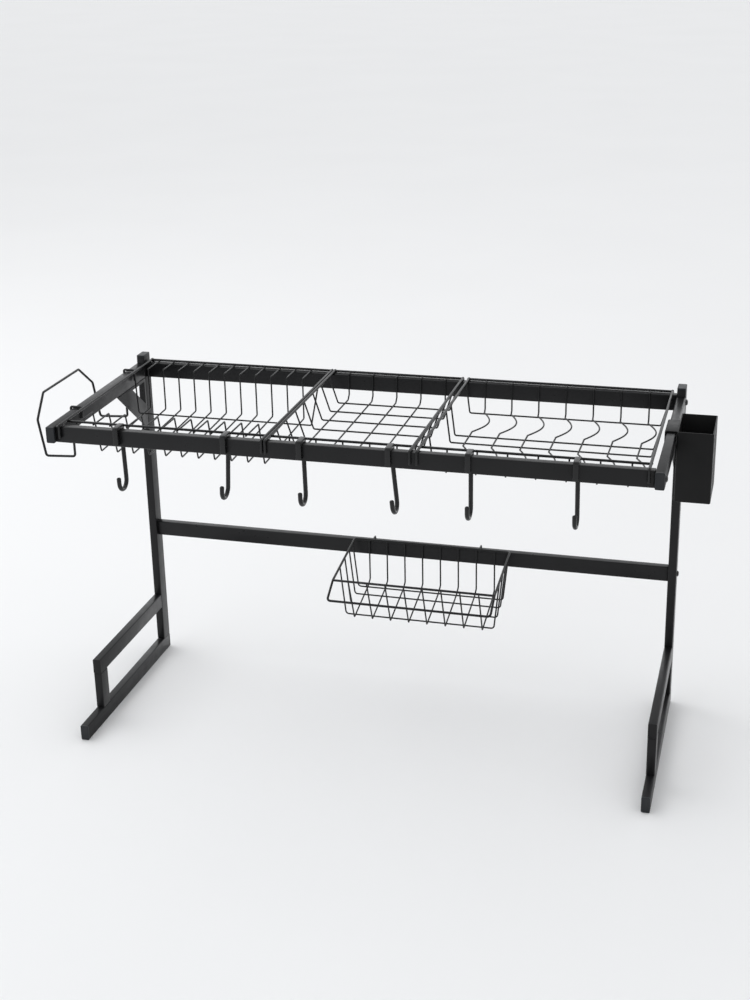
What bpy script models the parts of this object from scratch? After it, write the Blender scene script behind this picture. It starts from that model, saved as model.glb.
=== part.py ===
"""Dish drying rack that stands over a sink: two end frames, three rails, three lift-off wire racks on top,
a wire basket hung on the crossbar, six hooks, a board holder on the left arm and a utensil box on the right.

Places are worked out in millimetres with X = 0 at the left frame's outer face, Y = 0 at the arms' front
ends and Z = 0 at the floor. at() turns them into metres around the middle of the whole rack's footprint.
"""
import math

import bmesh
import bpy
from mathutils import Matrix, Vector

MM = 0.001

# Overall sizes of the frame
LENGTH = 850.0             # over the outer faces of the two end frames
DEPTH = 340.0              # arms' front ends to the posts' rear faces
ARM_TOP = 505.0            # floor to the top of arms and rails
POST_RISE = 12.5           # how far a post with its cap stands above the arm

# Rectangular tube used everywhere
TUBE_W = 12.5
TUBE_H = 23.5
WALL = 1.2
END_PLATE = 3.0            # welded plate that closes a rail's end
JOINT_GAP = 0.3            # between pieces that touch
SLIP = 0.4                 # between pieces that lift or slide off

# End frame
FOOT_SETBACK = 18.0        # foot's front end behind the arm's front end
UPRIGHT_SETBACK = 59.0     # short upright's front face behind the foot's front end
UPPER_BAR_TOP = 105.0
GUSSET_RUN = 104.5         # gusset's edge along the arm, from the post
GUSSET_DROP = 85.0         # gusset's edge down the post, from the arm
GUSSET_MARGIN = 5.0        # sheet left between the gusset's hole and the arm or post
GUSSET_HOLE_SHARE = 0.42   # sides of the gusset's hole as a share of the gusset's own
GUSSET_THICKNESS = 2.0
CAP_PLATE = 3.0
CAP_PLUG = 5.0

# Rails and crossbar
RAIL_SETBACK = 6.0         # front rail's front face behind the arms' front ends
CROSSBAR_TOP = 234.5
BOLT_SHANK = 5.4
BOLT_HEAD = 9.0
BOLT_HEAD_HEIGHT = 2.6
BOLT_REACH = 9.0           # shank beyond the end frame's inner face
BOLT_SIDES = 16

# Lift-off wire racks
FRAME_WIRE = 4.0           # side wires that rest on both rails
RIM_WIRE = 3.6
THIN_WIRE = 2.4
WELD = 0.8                 # how far welded wires sink into each other
LEFT_CLEARANCE = 6.6       # left frame's inner face to the plate rack's side wire, at its centre
RIGHT_CLEARANCE = 7.5
PLATE_SPACING = 5.0        # plate rack's side wire to the middle rack's, between centres
BOWL_SPACING = 9.5
PLATE_RACK_WIDTH = 296.4   # between side wires' centres
MIDDLE_RACK_WIDTH = 199.5
SIDE_HOOK_DROP = 18.0      # side wire's hooked ends below its straight run
FRONT_RIM_INSET = 13.5     # front rim's centre behind the front rail
REAR_RIM_INSET = 10.0      # rear rim's centre behind the rear rail's front face

PLATE_PITCH = 25.1
PLATE_FIRST_WIRE = 13.9    # first cross wire from the left side wire
PLATE_FLOOR_DROP = 61.5    # floor wires' centre below the rails' top
PLATE_FLOOR_FALL = 7.0     # how much lower the floor's front end lies
PLATE_CROSSING = 21.0      # long wire's distance from the floor's rear end
PLATE_LEAN_LEFT = 3.0      # long wire's feet inside the side wires
PLATE_LEAN_RIGHT = 13.0
PLATE_SHELF = 38.0         # rear ledge of the cross wires in front of the rear rail
PLATE_FRONT_FOOT = 82.5    # floor's front end behind the front rail
PLATE_PEAK = 64.5          # peak of the front fold behind the front rail
MIDDLE_PITCH = 37.5
MIDDLE_FIRST_WIRE = 25.5
MIDDLE_LEAN = 13.0         # long wires' feet inside the side wires
MIDDLE_FLOOR_DROP = 37.0
MIDDLE_LONG_PITCH = 41.3
MIDDLE_FRONT_CHAMFER = 13.0
BOWL_PITCH = 40.3
BOWL_FIRST_WIRE = 27.5
BOWL_LEAN_LEFT = 5.5
BOWL_LEAN_RIGHT = 13.0
BOWL_CHAMFER = 4.0         # at the floor's rear end
BOWL_FRONT_CHAMFER = 24.0
BOWL_FRONT_SHIFT = 7.0     # how far right the floor wires' front ends stand
BOWL_FLOOR_DROP = 43.0
BOWL_WAVE = 15.5           # sideways swell of a bowl rack's floor wires
BOWL_WAVE_SHARE = 0.304    # length of a swell as a share of the rack's depth
BOWL_STRAIGHT_SHARE = 0.214   # straight stretch between the two swells
FLOOR_CHAMFER = 7.0

# Basket on the crossbar
BASKET_WIDTH = 248.0
BASKET_OFFSET = 48.0       # basket's middle right of the rack's middle
BASKET_PITCH = 28.6
BASKET_FIRST_WIRE = 24.0
BASKET_LEAN = 8.0
BASKET_RIM_DEPTH = 122.0   # rear rim to the front rim
BASKET_RIM_FALL = 17.5
BASKET_LIP_DEPTH = 32.0
BASKET_LIP_FALL = 19.0
BASKET_HEIGHT = 74.0       # rear rim to the floor's rear end
BASKET_FLOOR_DEPTH = 93.0
BASKET_FLOOR_FALL = 16.0
BASKET_LONG_STEPS = (0.13, 0.35, 0.61, 0.90)   # long wires, as shares of the floor's depth
BASKET_HOOK_SPREAD = 170.5
BASKET_HOOK_SHIFT = -9.2   # hooks' middle from the basket's middle
BASKET_HOOK_DROP = 14.0

# Hooks on the front rail
HOOK_ROD = 6.2
HOOK_BEND = 12.0           # centre-line radius of the J
HOOK_LENGTH = 63.0         # rail's underside to the J's lowest centre-line point
HOOK_TIP = 20.5            # tip above the J's lowest centre-line point
CLIP_WIDTH = 7.5           # bar over the rail that the rod is welded to
CLIP_BAR = 5.6             # its thickness
CLIP_CORNER = 3.2          # outer radius of its bends
CLIP_RISE = 3.0            # front leg's lower end above the rail's underside
CLIP_OVERLAP = 14.0        # rod's upper end above the rail's underside
HOOK_PLACES = ((0.289, 0.817), (0.241, 0.855), (0.228, 0.694))   # shares of each rack's width
HOOK_LEANS = (1.5, -3.0, 1.0, 5.5, 0.0, 0.5)   # rear leg's lean to the right of straight down, in degrees

# Board holder on the left arm
BOARD_WIRE = 3.6
BOARD_FRONT = 86.0         # front leg behind the arm's front end
BOARD_SPAN = 186.0         # between the two legs
BOARD_DROP = 74.0          # legs' lower ends below the arm's top
BOARD_REACH = 46.0         # outward run of the lower bars
BOARD_KNEE_RISE = 52.0
BOARD_KNEE_OUT = 9.0
BOARD_TOP_RISE = 83.0
BOARD_TOP_OUT = 14.0
BOARD_TOP_INSET = 34.0
BOARD_HOOK_DROP = 16.0

# Utensil box on the right arm
BOX_WIDTH = 48.6
BOX_STAND = 2.0            # gap between the arm and the box
BOX_DEPTH = 81.0
BOX_HEIGHT = 100.0
BOX_FRONT = 146.0          # box's front face behind the arm's front end
BOX_RISE = 5.0             # box's rim above the arm's top
BOX_WALL = 1.5
BOX_HOLE = 7.0
BOX_HOLE_PITCH = 14.0
FLANGE_WIDTH = 49.0        # sheet that lies over the arm
FLANGE_SETBACK = 10.0      # flange's front edge behind the box's front face
FLANGE_SHEET = 2.2
FLANGE_DROP = 14.0         # lip down the arm's inner side

WIRE_SIDES_EXTRA = 1       # bevel resolution: six-sided wires
HOOK_SIDES_EXTRA = 2

# Places worked out from the sizes above
POST_FRONT = DEPTH - TUBE_H
POST_TOP = ARM_TOP + POST_RISE
RIGHT_FRAME = LENGTH - TUBE_W
RAIL_BOTTOM = ARM_TOP - TUBE_H
FRONT_RAIL_REAR = RAIL_SETBACK + TUBE_W
REAR_RAIL_FRONT = DEPTH - (TUBE_H + TUBE_W) / 2
REAR_RAIL_REAR = REAR_RAIL_FRONT + TUBE_W
FOOT_FRONT = FOOT_SETBACK
UPRIGHT_FRONT = FOOT_FRONT + UPRIGHT_SETBACK
SIDE_WIRE_Z = ARM_TOP + JOINT_GAP + FRAME_WIRE / 2
FRONT_RIM_Z = SIDE_WIRE_Z - (FRAME_WIRE + RIM_WIRE) / 2 + WELD + 0.2
CROSS_TOP_Z = ARM_TOP + SLIP + THIN_WIRE / 2
LONG_TOP_Z = SIDE_WIRE_Z - FRAME_WIRE / 2 - JOINT_GAP - THIN_WIRE / 4
FRONT_RIM_Y = FRONT_RAIL_REAR + FRONT_RIM_INSET
REAR_RIM_Y = REAR_RAIL_FRONT + REAR_RIM_INSET
RACK_SPAN = REAR_RAIL_FRONT - FRONT_RIM_Y
BOWL_WAVE_LENGTH = RACK_SPAN * BOWL_WAVE_SHARE
BOWL_STRAIGHT = RACK_SPAN * BOWL_STRAIGHT_SHARE
PLATE_RACK_X = TUBE_W + LEFT_CLEARANCE
MIDDLE_RACK_X = PLATE_RACK_X + PLATE_RACK_WIDTH + PLATE_SPACING
BOWL_RACK_X = MIDDLE_RACK_X + MIDDLE_RACK_WIDTH + BOWL_SPACING
BOWL_RACK_WIDTH = RIGHT_FRAME - RIGHT_CLEARANCE - BOWL_RACK_X
RAIL_MIDDLE_Y = RAIL_SETBACK + TUBE_W / 2
HOOK_STEM_Y = FRONT_RAIL_REAR + SLIP + HOOK_ROD / 2 + 0.2
HOOK_TIP_Y = HOOK_STEM_Y - 2 * HOOK_BEND
BOX_LEFT = LENGTH + BOX_STAND
BOARD_LEG_X = -SLIP - BOARD_WIRE / 2

# Middle of the whole rack's footprint
LEFT_END = BOARD_LEG_X - BOARD_REACH - BOARD_TOP_OUT - BOARD_WIRE / 2
RIGHT_END = BOX_LEFT + BOX_WIDTH
FRONT_END = min(0.0, HOOK_TIP_Y - HOOK_ROD / 2)
CENTRE_X = (LEFT_END + RIGHT_END) / 2
CENTRE_Y = (FRONT_END + DEPTH) / 2

BLACK = (0.018, 0.018, 0.020, 1.0)
PLASTIC_BLACK = (0.028, 0.028, 0.030, 1.0)


def clear_scene():
    for obj in list(bpy.data.objects):
        bpy.data.objects.remove(obj, do_unlink=True)


def make_material(name, color, roughness, metallic):
    material = bpy.data.materials.new(name)
    material.use_nodes = True
    shader = material.node_tree.nodes["Principled BSDF"]
    shader.inputs["Base Color"].default_value = color
    shader.inputs["Roughness"].default_value = roughness
    shader.inputs["Metallic"].default_value = metallic
    material.diffuse_color = color
    return material


def at(x, y, z):
    """A place in millimetres, as metres around the middle of the footprint."""
    return Vector(((x - CENTRE_X) * MM, (y - CENTRE_Y) * MM, z * MM))


def mesh_object(name, mesh, collection):
    obj = bpy.data.objects.new(name, mesh)
    collection.objects.link(obj)
    return obj


def block(low, high, name="block"):
    """A box between two corners given in millimetres."""
    a, b = at(*low), at(*high)
    size = b - a
    bm = bmesh.new()
    bmesh.ops.create_cube(bm, size=1.0, matrix=Matrix.Translation((a + b) / 2) @ Matrix.Diagonal((*size, 1.0)))
    mesh = bpy.data.meshes.new(name)
    bm.to_mesh(mesh)
    bm.free()
    return mesh_object(name, mesh, WORK)


def pin(centre, axis, radius, length, sides, name="pin"):
    """A cylinder that starts at centre and runs along the named axis, in millimetres."""
    turn = {"X": Matrix.Rotation(math.pi / 2, 4, "Y"), "Y": Matrix.Rotation(-math.pi / 2, 4, "X"),
            "Z": Matrix.Identity(4)}[axis]
    step = {"X": Vector((1, 0, 0)), "Y": Vector((0, 1, 0)), "Z": Vector((0, 0, 1))}[axis]
    middle = at(*centre) + step * (length * MM / 2)
    bm = bmesh.new()
    bmesh.ops.create_cone(bm, cap_ends=True, segments=sides, radius1=radius * MM, radius2=radius * MM,
                          depth=length * MM, matrix=Matrix.Translation(middle) @ turn)
    mesh = bpy.data.meshes.new(name)
    bm.to_mesh(mesh)
    bm.free()
    return mesh_object(name, mesh, WORK)


def apply_modifiers(obj):
    evaluated = obj.evaluated_get(bpy.context.evaluated_depsgraph_get())
    mesh = bpy.data.meshes.new_from_object(evaluated)
    old = obj.data
    obj.modifiers.clear()
    obj.data = mesh
    bpy.data.meshes.remove(old)


def combine(obj, tool, operation):
    """Cuts or joins obj with tool and removes tool."""
    modifier = obj.modifiers.new(operation.lower(), "BOOLEAN")
    modifier.operation = operation
    modifier.object = tool
    apply_modifiers(obj)
    bpy.data.objects.remove(tool, do_unlink=True)


def gather(objects, name="group"):
    """Puts the meshes of pieces that don't touch into one object."""
    bm = bmesh.new()
    for obj in objects:
        bm.from_mesh(obj.data)
        bpy.data.objects.remove(obj, do_unlink=True)
    mesh = bpy.data.meshes.new(name)
    bm.to_mesh(mesh)
    bm.free()
    return mesh_object(name, mesh, WORK)


def bend(points, radius, steps=2):
    """The corners of a path in millimetres rounded with arcs of the given radius."""
    points = [Vector(p) for p in points]
    rounded = [points[0]]
    for before, corner, after in zip(points, points[1:], points[2:]):
        back, ahead = (before - corner).normalized(), (after - corner).normalized()
        half = back.angle(ahead) / 2
        reach = min(radius / math.tan(half), 0.45 * (before - corner).length, 0.45 * (after - corner).length)
        start, end = corner + back * reach, corner + ahead * reach
        centre = corner + (back + ahead).normalized() * (reach / math.cos(half))
        for i in range(steps + 1):
            direction = (start - centre).normalized().slerp((end - centre).normalized(), i / steps)
            rounded.append(centre + direction * (start - centre).length)
    rounded.append(points[-1])
    return rounded


def welded_mesh(curve, name, turn=None):
    """A curve's evaluated shape as a mesh object with its caps welded on."""
    holder = mesh_object(name, curve, WORK)
    mesh = bpy.data.meshes.new_from_object(holder.evaluated_get(bpy.context.evaluated_depsgraph_get()))
    if turn is not None:
        mesh.transform(turn)
    bm = bmesh.new()
    bm.from_mesh(mesh)
    bmesh.ops.remove_doubles(bm, verts=bm.verts, dist=1e-6)
    bm.to_mesh(mesh)
    bm.free()
    bpy.data.objects.remove(holder, do_unlink=True)
    return mesh_object(name, mesh, WORK)


def rod(points, diameter, closed=False, sides_extra=WIRE_SIDES_EXTRA, name="rod"):
    """A round wire through the points, in millimetres, as a closed mesh."""
    curve = bpy.data.curves.new(name, "CURVE")
    curve.dimensions = "3D"
    curve.bevel_depth = diameter / 2 * MM
    curve.bevel_resolution = sides_extra
    curve.use_fill_caps = True
    spline = curve.splines.new("POLY")
    spline.points.add(len(points) - 1)
    for target, point in zip(spline.points, points):
        target.co = (*at(*point), 1.0)
    spline.use_cyclic_u = closed
    return welded_mesh(curve, name)


def plate(outline, x0, x1, name="plate"):
    """A flat outline in the YZ plane, in millimetres, as thick as x0 to x1."""
    curve = bpy.data.curves.new(name, "CURVE")
    curve.dimensions = "2D"
    curve.fill_mode = "BOTH"
    curve.extrude = (x1 - x0) / 2 * MM
    spline = curve.splines.new("POLY")
    spline.points.add(len(outline) - 1)
    for target, (y, z) in zip(spline.points, outline):
        place = at(0, y, z)
        target.co = (place.y, place.z, 0.0, 1.0)
    spline.use_cyclic_u = True
    upright = Matrix(((0, 0, 1, 0), (1, 0, 0, 0), (0, 1, 0, 0), (0, 0, 0, 1)))
    return welded_mesh(curve, name, Matrix.Translation((at((x0 + x1) / 2, 0, 0).x, 0, 0)) @ upright)


def finish(obj, name, material):
    """Names a finished piece, gives it its material, puts its origin in its middle and collects it."""
    bm = bmesh.new()
    bm.from_mesh(obj.data)
    bmesh.ops.remove_doubles(bm, verts=bm.verts, dist=2e-6)
    bmesh.ops.dissolve_degenerate(bm, edges=bm.edges, dist=2e-6)
    bmesh.ops.triangulate(bm, faces=bm.faces)
    corners = [vertex.co for vertex in bm.verts]
    middle = Vector([(min(c[i] for c in corners) + max(c[i] for c in corners)) / 2 for i in range(3)])
    bmesh.ops.translate(bm, verts=bm.verts, vec=-middle)
    bm.to_mesh(obj.data)
    bm.free()
    obj.location = middle
    obj.parent = ORIGIN
    obj.name = name
    obj.data.name = name
    obj.data.materials.clear()
    obj.data.materials.append(material)
    obj.data.shade_smooth()
    obj.data.set_sharp_from_angle(angle=math.radians(35))
    WORK.objects.unlink(obj)
    RACK.objects.link(obj)
    return obj


def tube(low, high, axis, closed_start=False, closed_end=False):
    """A rectangular tube between two corners, open along its axis except where an end plate closes it."""
    obj = block(low, high)
    along = "XYZ".index(axis)
    inner_low = [v + WALL for v in low]
    inner_high = [v - WALL for v in high]
    inner_low[along] = low[along] + (END_PLATE if closed_start else -1.0)
    inner_high[along] = high[along] - (END_PLATE if closed_end else -1.0)
    combine(obj, block(inner_low, inner_high), "DIFFERENCE")
    return obj


def drill(obj, centre, axis, length):
    hole = pin(centre, axis, BOLT_SHANK / 2 + JOINT_GAP, length, BOLT_SIDES)
    combine(obj, hole, "DIFFERENCE")


def cap(low, high, axis, inward):
    """A plastic end cap: a plate of the tube's outline and a plug that fits inside the tube.

    low and high bound the plate; inward is the side of the plate, -1 or 1 along the axis, that the plug is on.
    """
    obj = block(low, high)
    along = "XYZ".index(axis)
    plug_low = [v + WALL + SLIP for v in low]
    plug_high = [v - WALL - SLIP for v in high]
    if inward > 0:
        plug_low[along], plug_high[along] = high[along] - 0.5, high[along] + CAP_PLUG
    else:
        plug_low[along], plug_high[along] = low[along] - CAP_PLUG, low[along] + 0.5
    combine(obj, block(plug_low, plug_high), "UNION")
    return obj


def end_frame(side, x0):
    """Foot, short upright, upper bar, post, arm, brace and caps of one end frame; x0 is its left face."""
    x1 = x0 + TUBE_W
    inner = x1 if side == "left" else x0
    rail_z = ARM_TOP - TUBE_H / 2
    bolt_y = REAR_RAIL_FRONT + TUBE_W / 2

    foot = tube((x0, FOOT_FRONT + CAP_PLATE + JOINT_GAP, 0), (x1, DEPTH - CAP_PLATE - JOINT_GAP, TUBE_H), "Y")
    finish(foot, f"{side}_foot_bar", STEEL)
    front_cap = cap((x0, FOOT_FRONT, 0), (x1, FOOT_FRONT + CAP_PLATE, TUBE_H), "Y", 1)
    finish(front_cap, f"{side}_foot_front_cap", PLASTIC)
    rear_cap = cap((x0, DEPTH - CAP_PLATE, 0), (x1, DEPTH, TUBE_H), "Y", -1)
    finish(rear_cap, f"{side}_foot_rear_cap", PLASTIC)

    upright_top = UPPER_BAR_TOP - TUBE_H - JOINT_GAP
    upright = tube((x0, UPRIGHT_FRONT, TUBE_H + JOINT_GAP), (x1, UPRIGHT_FRONT + TUBE_H, upright_top), "Z")
    finish(upright, f"{side}_front_upright", STEEL)
    bar = tube((x0, UPRIGHT_FRONT, UPPER_BAR_TOP - TUBE_H), (x1, POST_FRONT - JOINT_GAP, UPPER_BAR_TOP), "Y",
               closed_start=True)
    finish(bar, f"{side}_upper_bar", STEEL)

    post_end = POST_TOP - CAP_PLATE - JOINT_GAP
    post = tube((x0, POST_FRONT, TUBE_H + JOINT_GAP), (x1, DEPTH, post_end), "Z")
    drill(post, (x0 - 1, bolt_y, rail_z), "X", TUBE_W + 2)
    drill(post, (x0 - 1, bolt_y, CROSSBAR_TOP - TUBE_H / 2), "X", TUBE_W + 2)
    finish(post, f"{side}_post", STEEL)
    top_cap = cap((x0, POST_FRONT, POST_TOP - CAP_PLATE), (x1, DEPTH, POST_TOP), "Z", -1)
    finish(top_cap, f"{side}_post_cap", PLASTIC)

    arm = tube((x0, CAP_PLATE + JOINT_GAP, RAIL_BOTTOM), (x1, POST_FRONT - JOINT_GAP, ARM_TOP), "Y")
    drill(arm, (x0 - 1, RAIL_MIDDLE_Y, rail_z), "X", TUBE_W + 2)
    finish(arm, f"{side}_arm", STEEL)
    arm_cap = cap((x0, 0, RAIL_BOTTOM), (x1, CAP_PLATE, ARM_TOP), "Y", 1)
    finish(arm_cap, f"{side}_arm_cap", PLASTIC)

    depth = GUSSET_THICKNESS if side == "right" else -GUSSET_THICKNESS
    gusset(f"{side}_gusset", min(inner, inner + depth), max(inner, inner + depth))


def gusset(name, x0, x1):
    """A triangular sheet with a triangular hole, under the arm and in front of the post."""
    corner_y, corner_z = POST_FRONT - JOINT_GAP, RAIL_BOTTOM - JOINT_GAP
    obj = plate([(corner_y, corner_z), (corner_y - GUSSET_RUN, corner_z), (corner_y, corner_z - GUSSET_DROP)], x0, x1)
    hole_y, hole_z = corner_y - GUSSET_MARGIN, corner_z - GUSSET_MARGIN
    hole = plate([(hole_y, hole_z), (hole_y - GUSSET_RUN * GUSSET_HOLE_SHARE, hole_z),
                  (hole_y, hole_z - GUSSET_DROP * GUSSET_HOLE_SHARE)], x0 - 1, x1 + 1)
    combine(obj, hole, "DIFFERENCE")
    finish(obj, name, STEEL)


def cross_rail(name, front_y, top_z):
    """A rail between the end frames, closed by drilled end plates."""
    x0, x1 = TUBE_W + JOINT_GAP, RIGHT_FRAME - JOINT_GAP
    obj = tube((x0, front_y, top_z - TUBE_H), (x1, front_y + TUBE_W, top_z), "X", True, True)
    for x in (x0, x1):
        drill(obj, (x - END_PLATE - 1, front_y + TUBE_W / 2, top_z - TUBE_H / 2), "X", 2 * END_PLATE + 2)
    finish(obj, name, STEEL)


def bolt(name, side, y, z):
    """A button-head bolt through an end frame into a rail's end plate."""
    shank = TUBE_W + BOLT_REACH + JOINT_GAP
    if side == "left":
        head_x, shank_x = -JOINT_GAP - BOLT_HEAD_HEIGHT, -JOINT_GAP - 0.5
    else:
        head_x, shank_x = LENGTH + JOINT_GAP, LENGTH + JOINT_GAP + 0.5 - shank - 0.5
    obj = pin((head_x, y, z), "X", BOLT_HEAD / 2, BOLT_HEAD_HEIGHT, BOLT_SIDES)
    combine(obj, pin((shank_x, y, z), "X", BOLT_SHANK / 2, shank + 0.5, BOLT_SIDES), "UNION")
    finish(obj, f"{side}_{name}", BOLT)


def side_wires(rack, left, width):
    """A rack's side wires, hooked down in front of the front rail and behind the rear rail."""
    front, rear = RAIL_SETBACK - SLIP - FRAME_WIRE / 2, REAR_RAIL_REAR + SLIP + FRAME_WIRE / 2
    low = SIDE_WIRE_Z - SIDE_HOOK_DROP
    for side, x in (("left", left), ("right", left + width)):
        path = [(x, front, low), (x, front, SIDE_WIRE_Z), (x, rear, SIDE_WIRE_Z), (x, rear, low)]
        finish(rod(bend(path, FRAME_WIRE * 0.6), FRAME_WIRE), f"{rack}_{side}_wire", STEEL)


def rack_rims(left, width):
    """A rack's front and rear wires, which reach from one side wire to the other."""
    inset = FRAME_WIRE / 2 + JOINT_GAP
    return [rod([(left + inset, y, z), (left + width - inset, y, z)], RIM_WIRE)
            for y, z in ((FRONT_RIM_Y, FRONT_RIM_Z), (REAR_RIM_Y, SIDE_WIRE_Z))]


def long_wire(left, width, y, floor_z, left_lean, right_lean):
    """A wire along the rack under the cross wires, with both ends up under the side wires."""
    z = floor_z - THIN_WIRE + WELD
    path = [(left, y, LONG_TOP_Z), (left + left_lean, y, z), (left + width - right_lean, y, z),
            (left + width, y, LONG_TOP_Z)]
    return rod(bend(path, 3.0, steps=1), THIN_WIRE)


def spread(left, width, pitch, first):
    """Places of evenly spaced wires, from the first one's inset to at least half a pitch from the far side."""
    count = int((width - first - pitch / 2) // pitch) + 1
    return [left + first + i * pitch for i in range(count)]


def weld_rack(name, cross_wires, long_wires, rims):
    obj = gather(cross_wires)
    combine(obj, gather(long_wires), "UNION")
    combine(obj, gather(rims), "UNION")
    finish(obj, name, STEEL)


def plate_rack():
    """Rack for standing plates: a deep floor, a rear ledge and a front fold on each cross wire."""
    left, width = PLATE_RACK_X, PLATE_RACK_WIDTH
    floor_z = ARM_TOP - PLATE_FLOOR_DROP
    foot_z = floor_z - PLATE_FLOOR_FALL
    back_y = REAR_RAIL_FRONT - PLATE_SHELF
    foot_y, peak_y = FRONT_RAIL_REAR + PLATE_FRONT_FOOT, FRONT_RAIL_REAR + PLATE_PEAK
    tuck_z = FRONT_RIM_Z - (RIM_WIRE + THIN_WIRE) / 2 + WELD + 0.1
    wires = []
    for x in spread(left, width, PLATE_PITCH, PLATE_FIRST_WIRE):
        halfway = (x, (back_y + foot_y) / 2, (floor_z + foot_z) / 2)
        rear = [(x, REAR_RIM_Y, CROSS_TOP_Z), (x, back_y, CROSS_TOP_Z), (x, back_y, floor_z), halfway]
        front = [halfway, (x, foot_y, foot_z), (x, peak_y, tuck_z), (x, FRONT_RIM_Y, tuck_z)]
        wires.append(rod(bend(rear, 2.4) + bend(front, 3.5)[1:], THIN_WIRE))
    crossing_y = back_y - PLATE_CROSSING
    crossing_z = floor_z - PLATE_FLOOR_FALL * PLATE_CROSSING / (back_y - foot_y)
    longs = [long_wire(left, width, crossing_y, crossing_z, PLATE_LEAN_LEFT, PLATE_LEAN_RIGHT)]
    weld_rack("plate_rack", wires, longs, rack_rims(left, width))
    side_wires("plate_rack", left, width)


def basket_wire(x, floor_z, chamfer, floor_path, front_chamfer, front_shift=0.0):
    """A cross wire from the rear rim down in front of the rear rail, along floor_path and up to the front rim."""
    back_y = REAR_RAIL_FRONT - SLIP - THIN_WIRE / 2
    path = [(x, REAR_RIM_Y, CROSS_TOP_Z), (x, back_y, CROSS_TOP_Z), (x, back_y, floor_z + chamfer),
            (x, back_y - chamfer, floor_z)]
    path += floor_path
    front_x = x + front_shift
    path += [(x, FRONT_RIM_Y + front_chamfer, floor_z), (front_x, FRONT_RIM_Y, floor_z + front_chamfer),
             (front_x, FRONT_RIM_Y, FRONT_RIM_Z)]
    return rod(path, THIN_WIRE)


def middle_rack():
    """Flat grid basket."""
    left, width = MIDDLE_RACK_X, MIDDLE_RACK_WIDTH
    floor_z = ARM_TOP - MIDDLE_FLOOR_DROP
    places = spread(left, width, MIDDLE_PITCH, MIDDLE_FIRST_WIRE)
    wires = [basket_wire(x, floor_z, FLOOR_CHAMFER, [], MIDDLE_FRONT_CHAMFER) for x in places]
    rear = REAR_RAIL_FRONT - 20.0
    count = int((rear - FRONT_RIM_Y - THIN_WIRE) // MIDDLE_LONG_PITCH) + 1
    longs = [long_wire(left, width, rear - i * MIDDLE_LONG_PITCH, floor_z, MIDDLE_LEAN, MIDDLE_LEAN)
             for i in range(count)]
    weld_rack("middle_rack", wires, longs, rack_rims(left, width))
    side_wires("middle_rack", left, width)


def wave(x, start_y, floor_z, steps=6):
    """One swell of a bowl rack's floor wire: a half sine that leaves and rejoins the straight line."""
    return [(x + BOWL_WAVE * math.sin(math.pi * i / steps), start_y - BOWL_WAVE_LENGTH * i / steps, floor_z)
            for i in range(steps + 1)]


def bowl_rack():
    """Rack for bowls and cups: each floor wire swells sideways twice."""
    left, width = BOWL_RACK_X, BOWL_RACK_WIDTH
    floor_z = ARM_TOP - BOWL_FLOOR_DROP
    first_wave = REAR_RAIL_FRONT - 2 * BOWL_CHAMFER
    second_wave = first_wave - BOWL_WAVE_LENGTH - BOWL_STRAIGHT
    wires = []
    for x in spread(left, width, BOWL_PITCH, BOWL_FIRST_WIRE):
        floor_path = wave(x, first_wave, floor_z) + wave(x, second_wave, floor_z)
        wires.append(basket_wire(x, floor_z, BOWL_CHAMFER, floor_path, BOWL_FRONT_CHAMFER, BOWL_FRONT_SHIFT))
    places = (first_wave, first_wave - BOWL_WAVE_LENGTH - BOWL_STRAIGHT / 4,
              second_wave + BOWL_STRAIGHT / 4, second_wave - BOWL_WAVE_LENGTH)
    longs = [long_wire(left, width, y, floor_z, BOWL_LEAN_LEFT, BOWL_LEAN_RIGHT) for y in places]
    weld_rack("bowl_rack", wires, longs, rack_rims(left, width))
    side_wires("bowl_rack", left, width)


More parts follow.
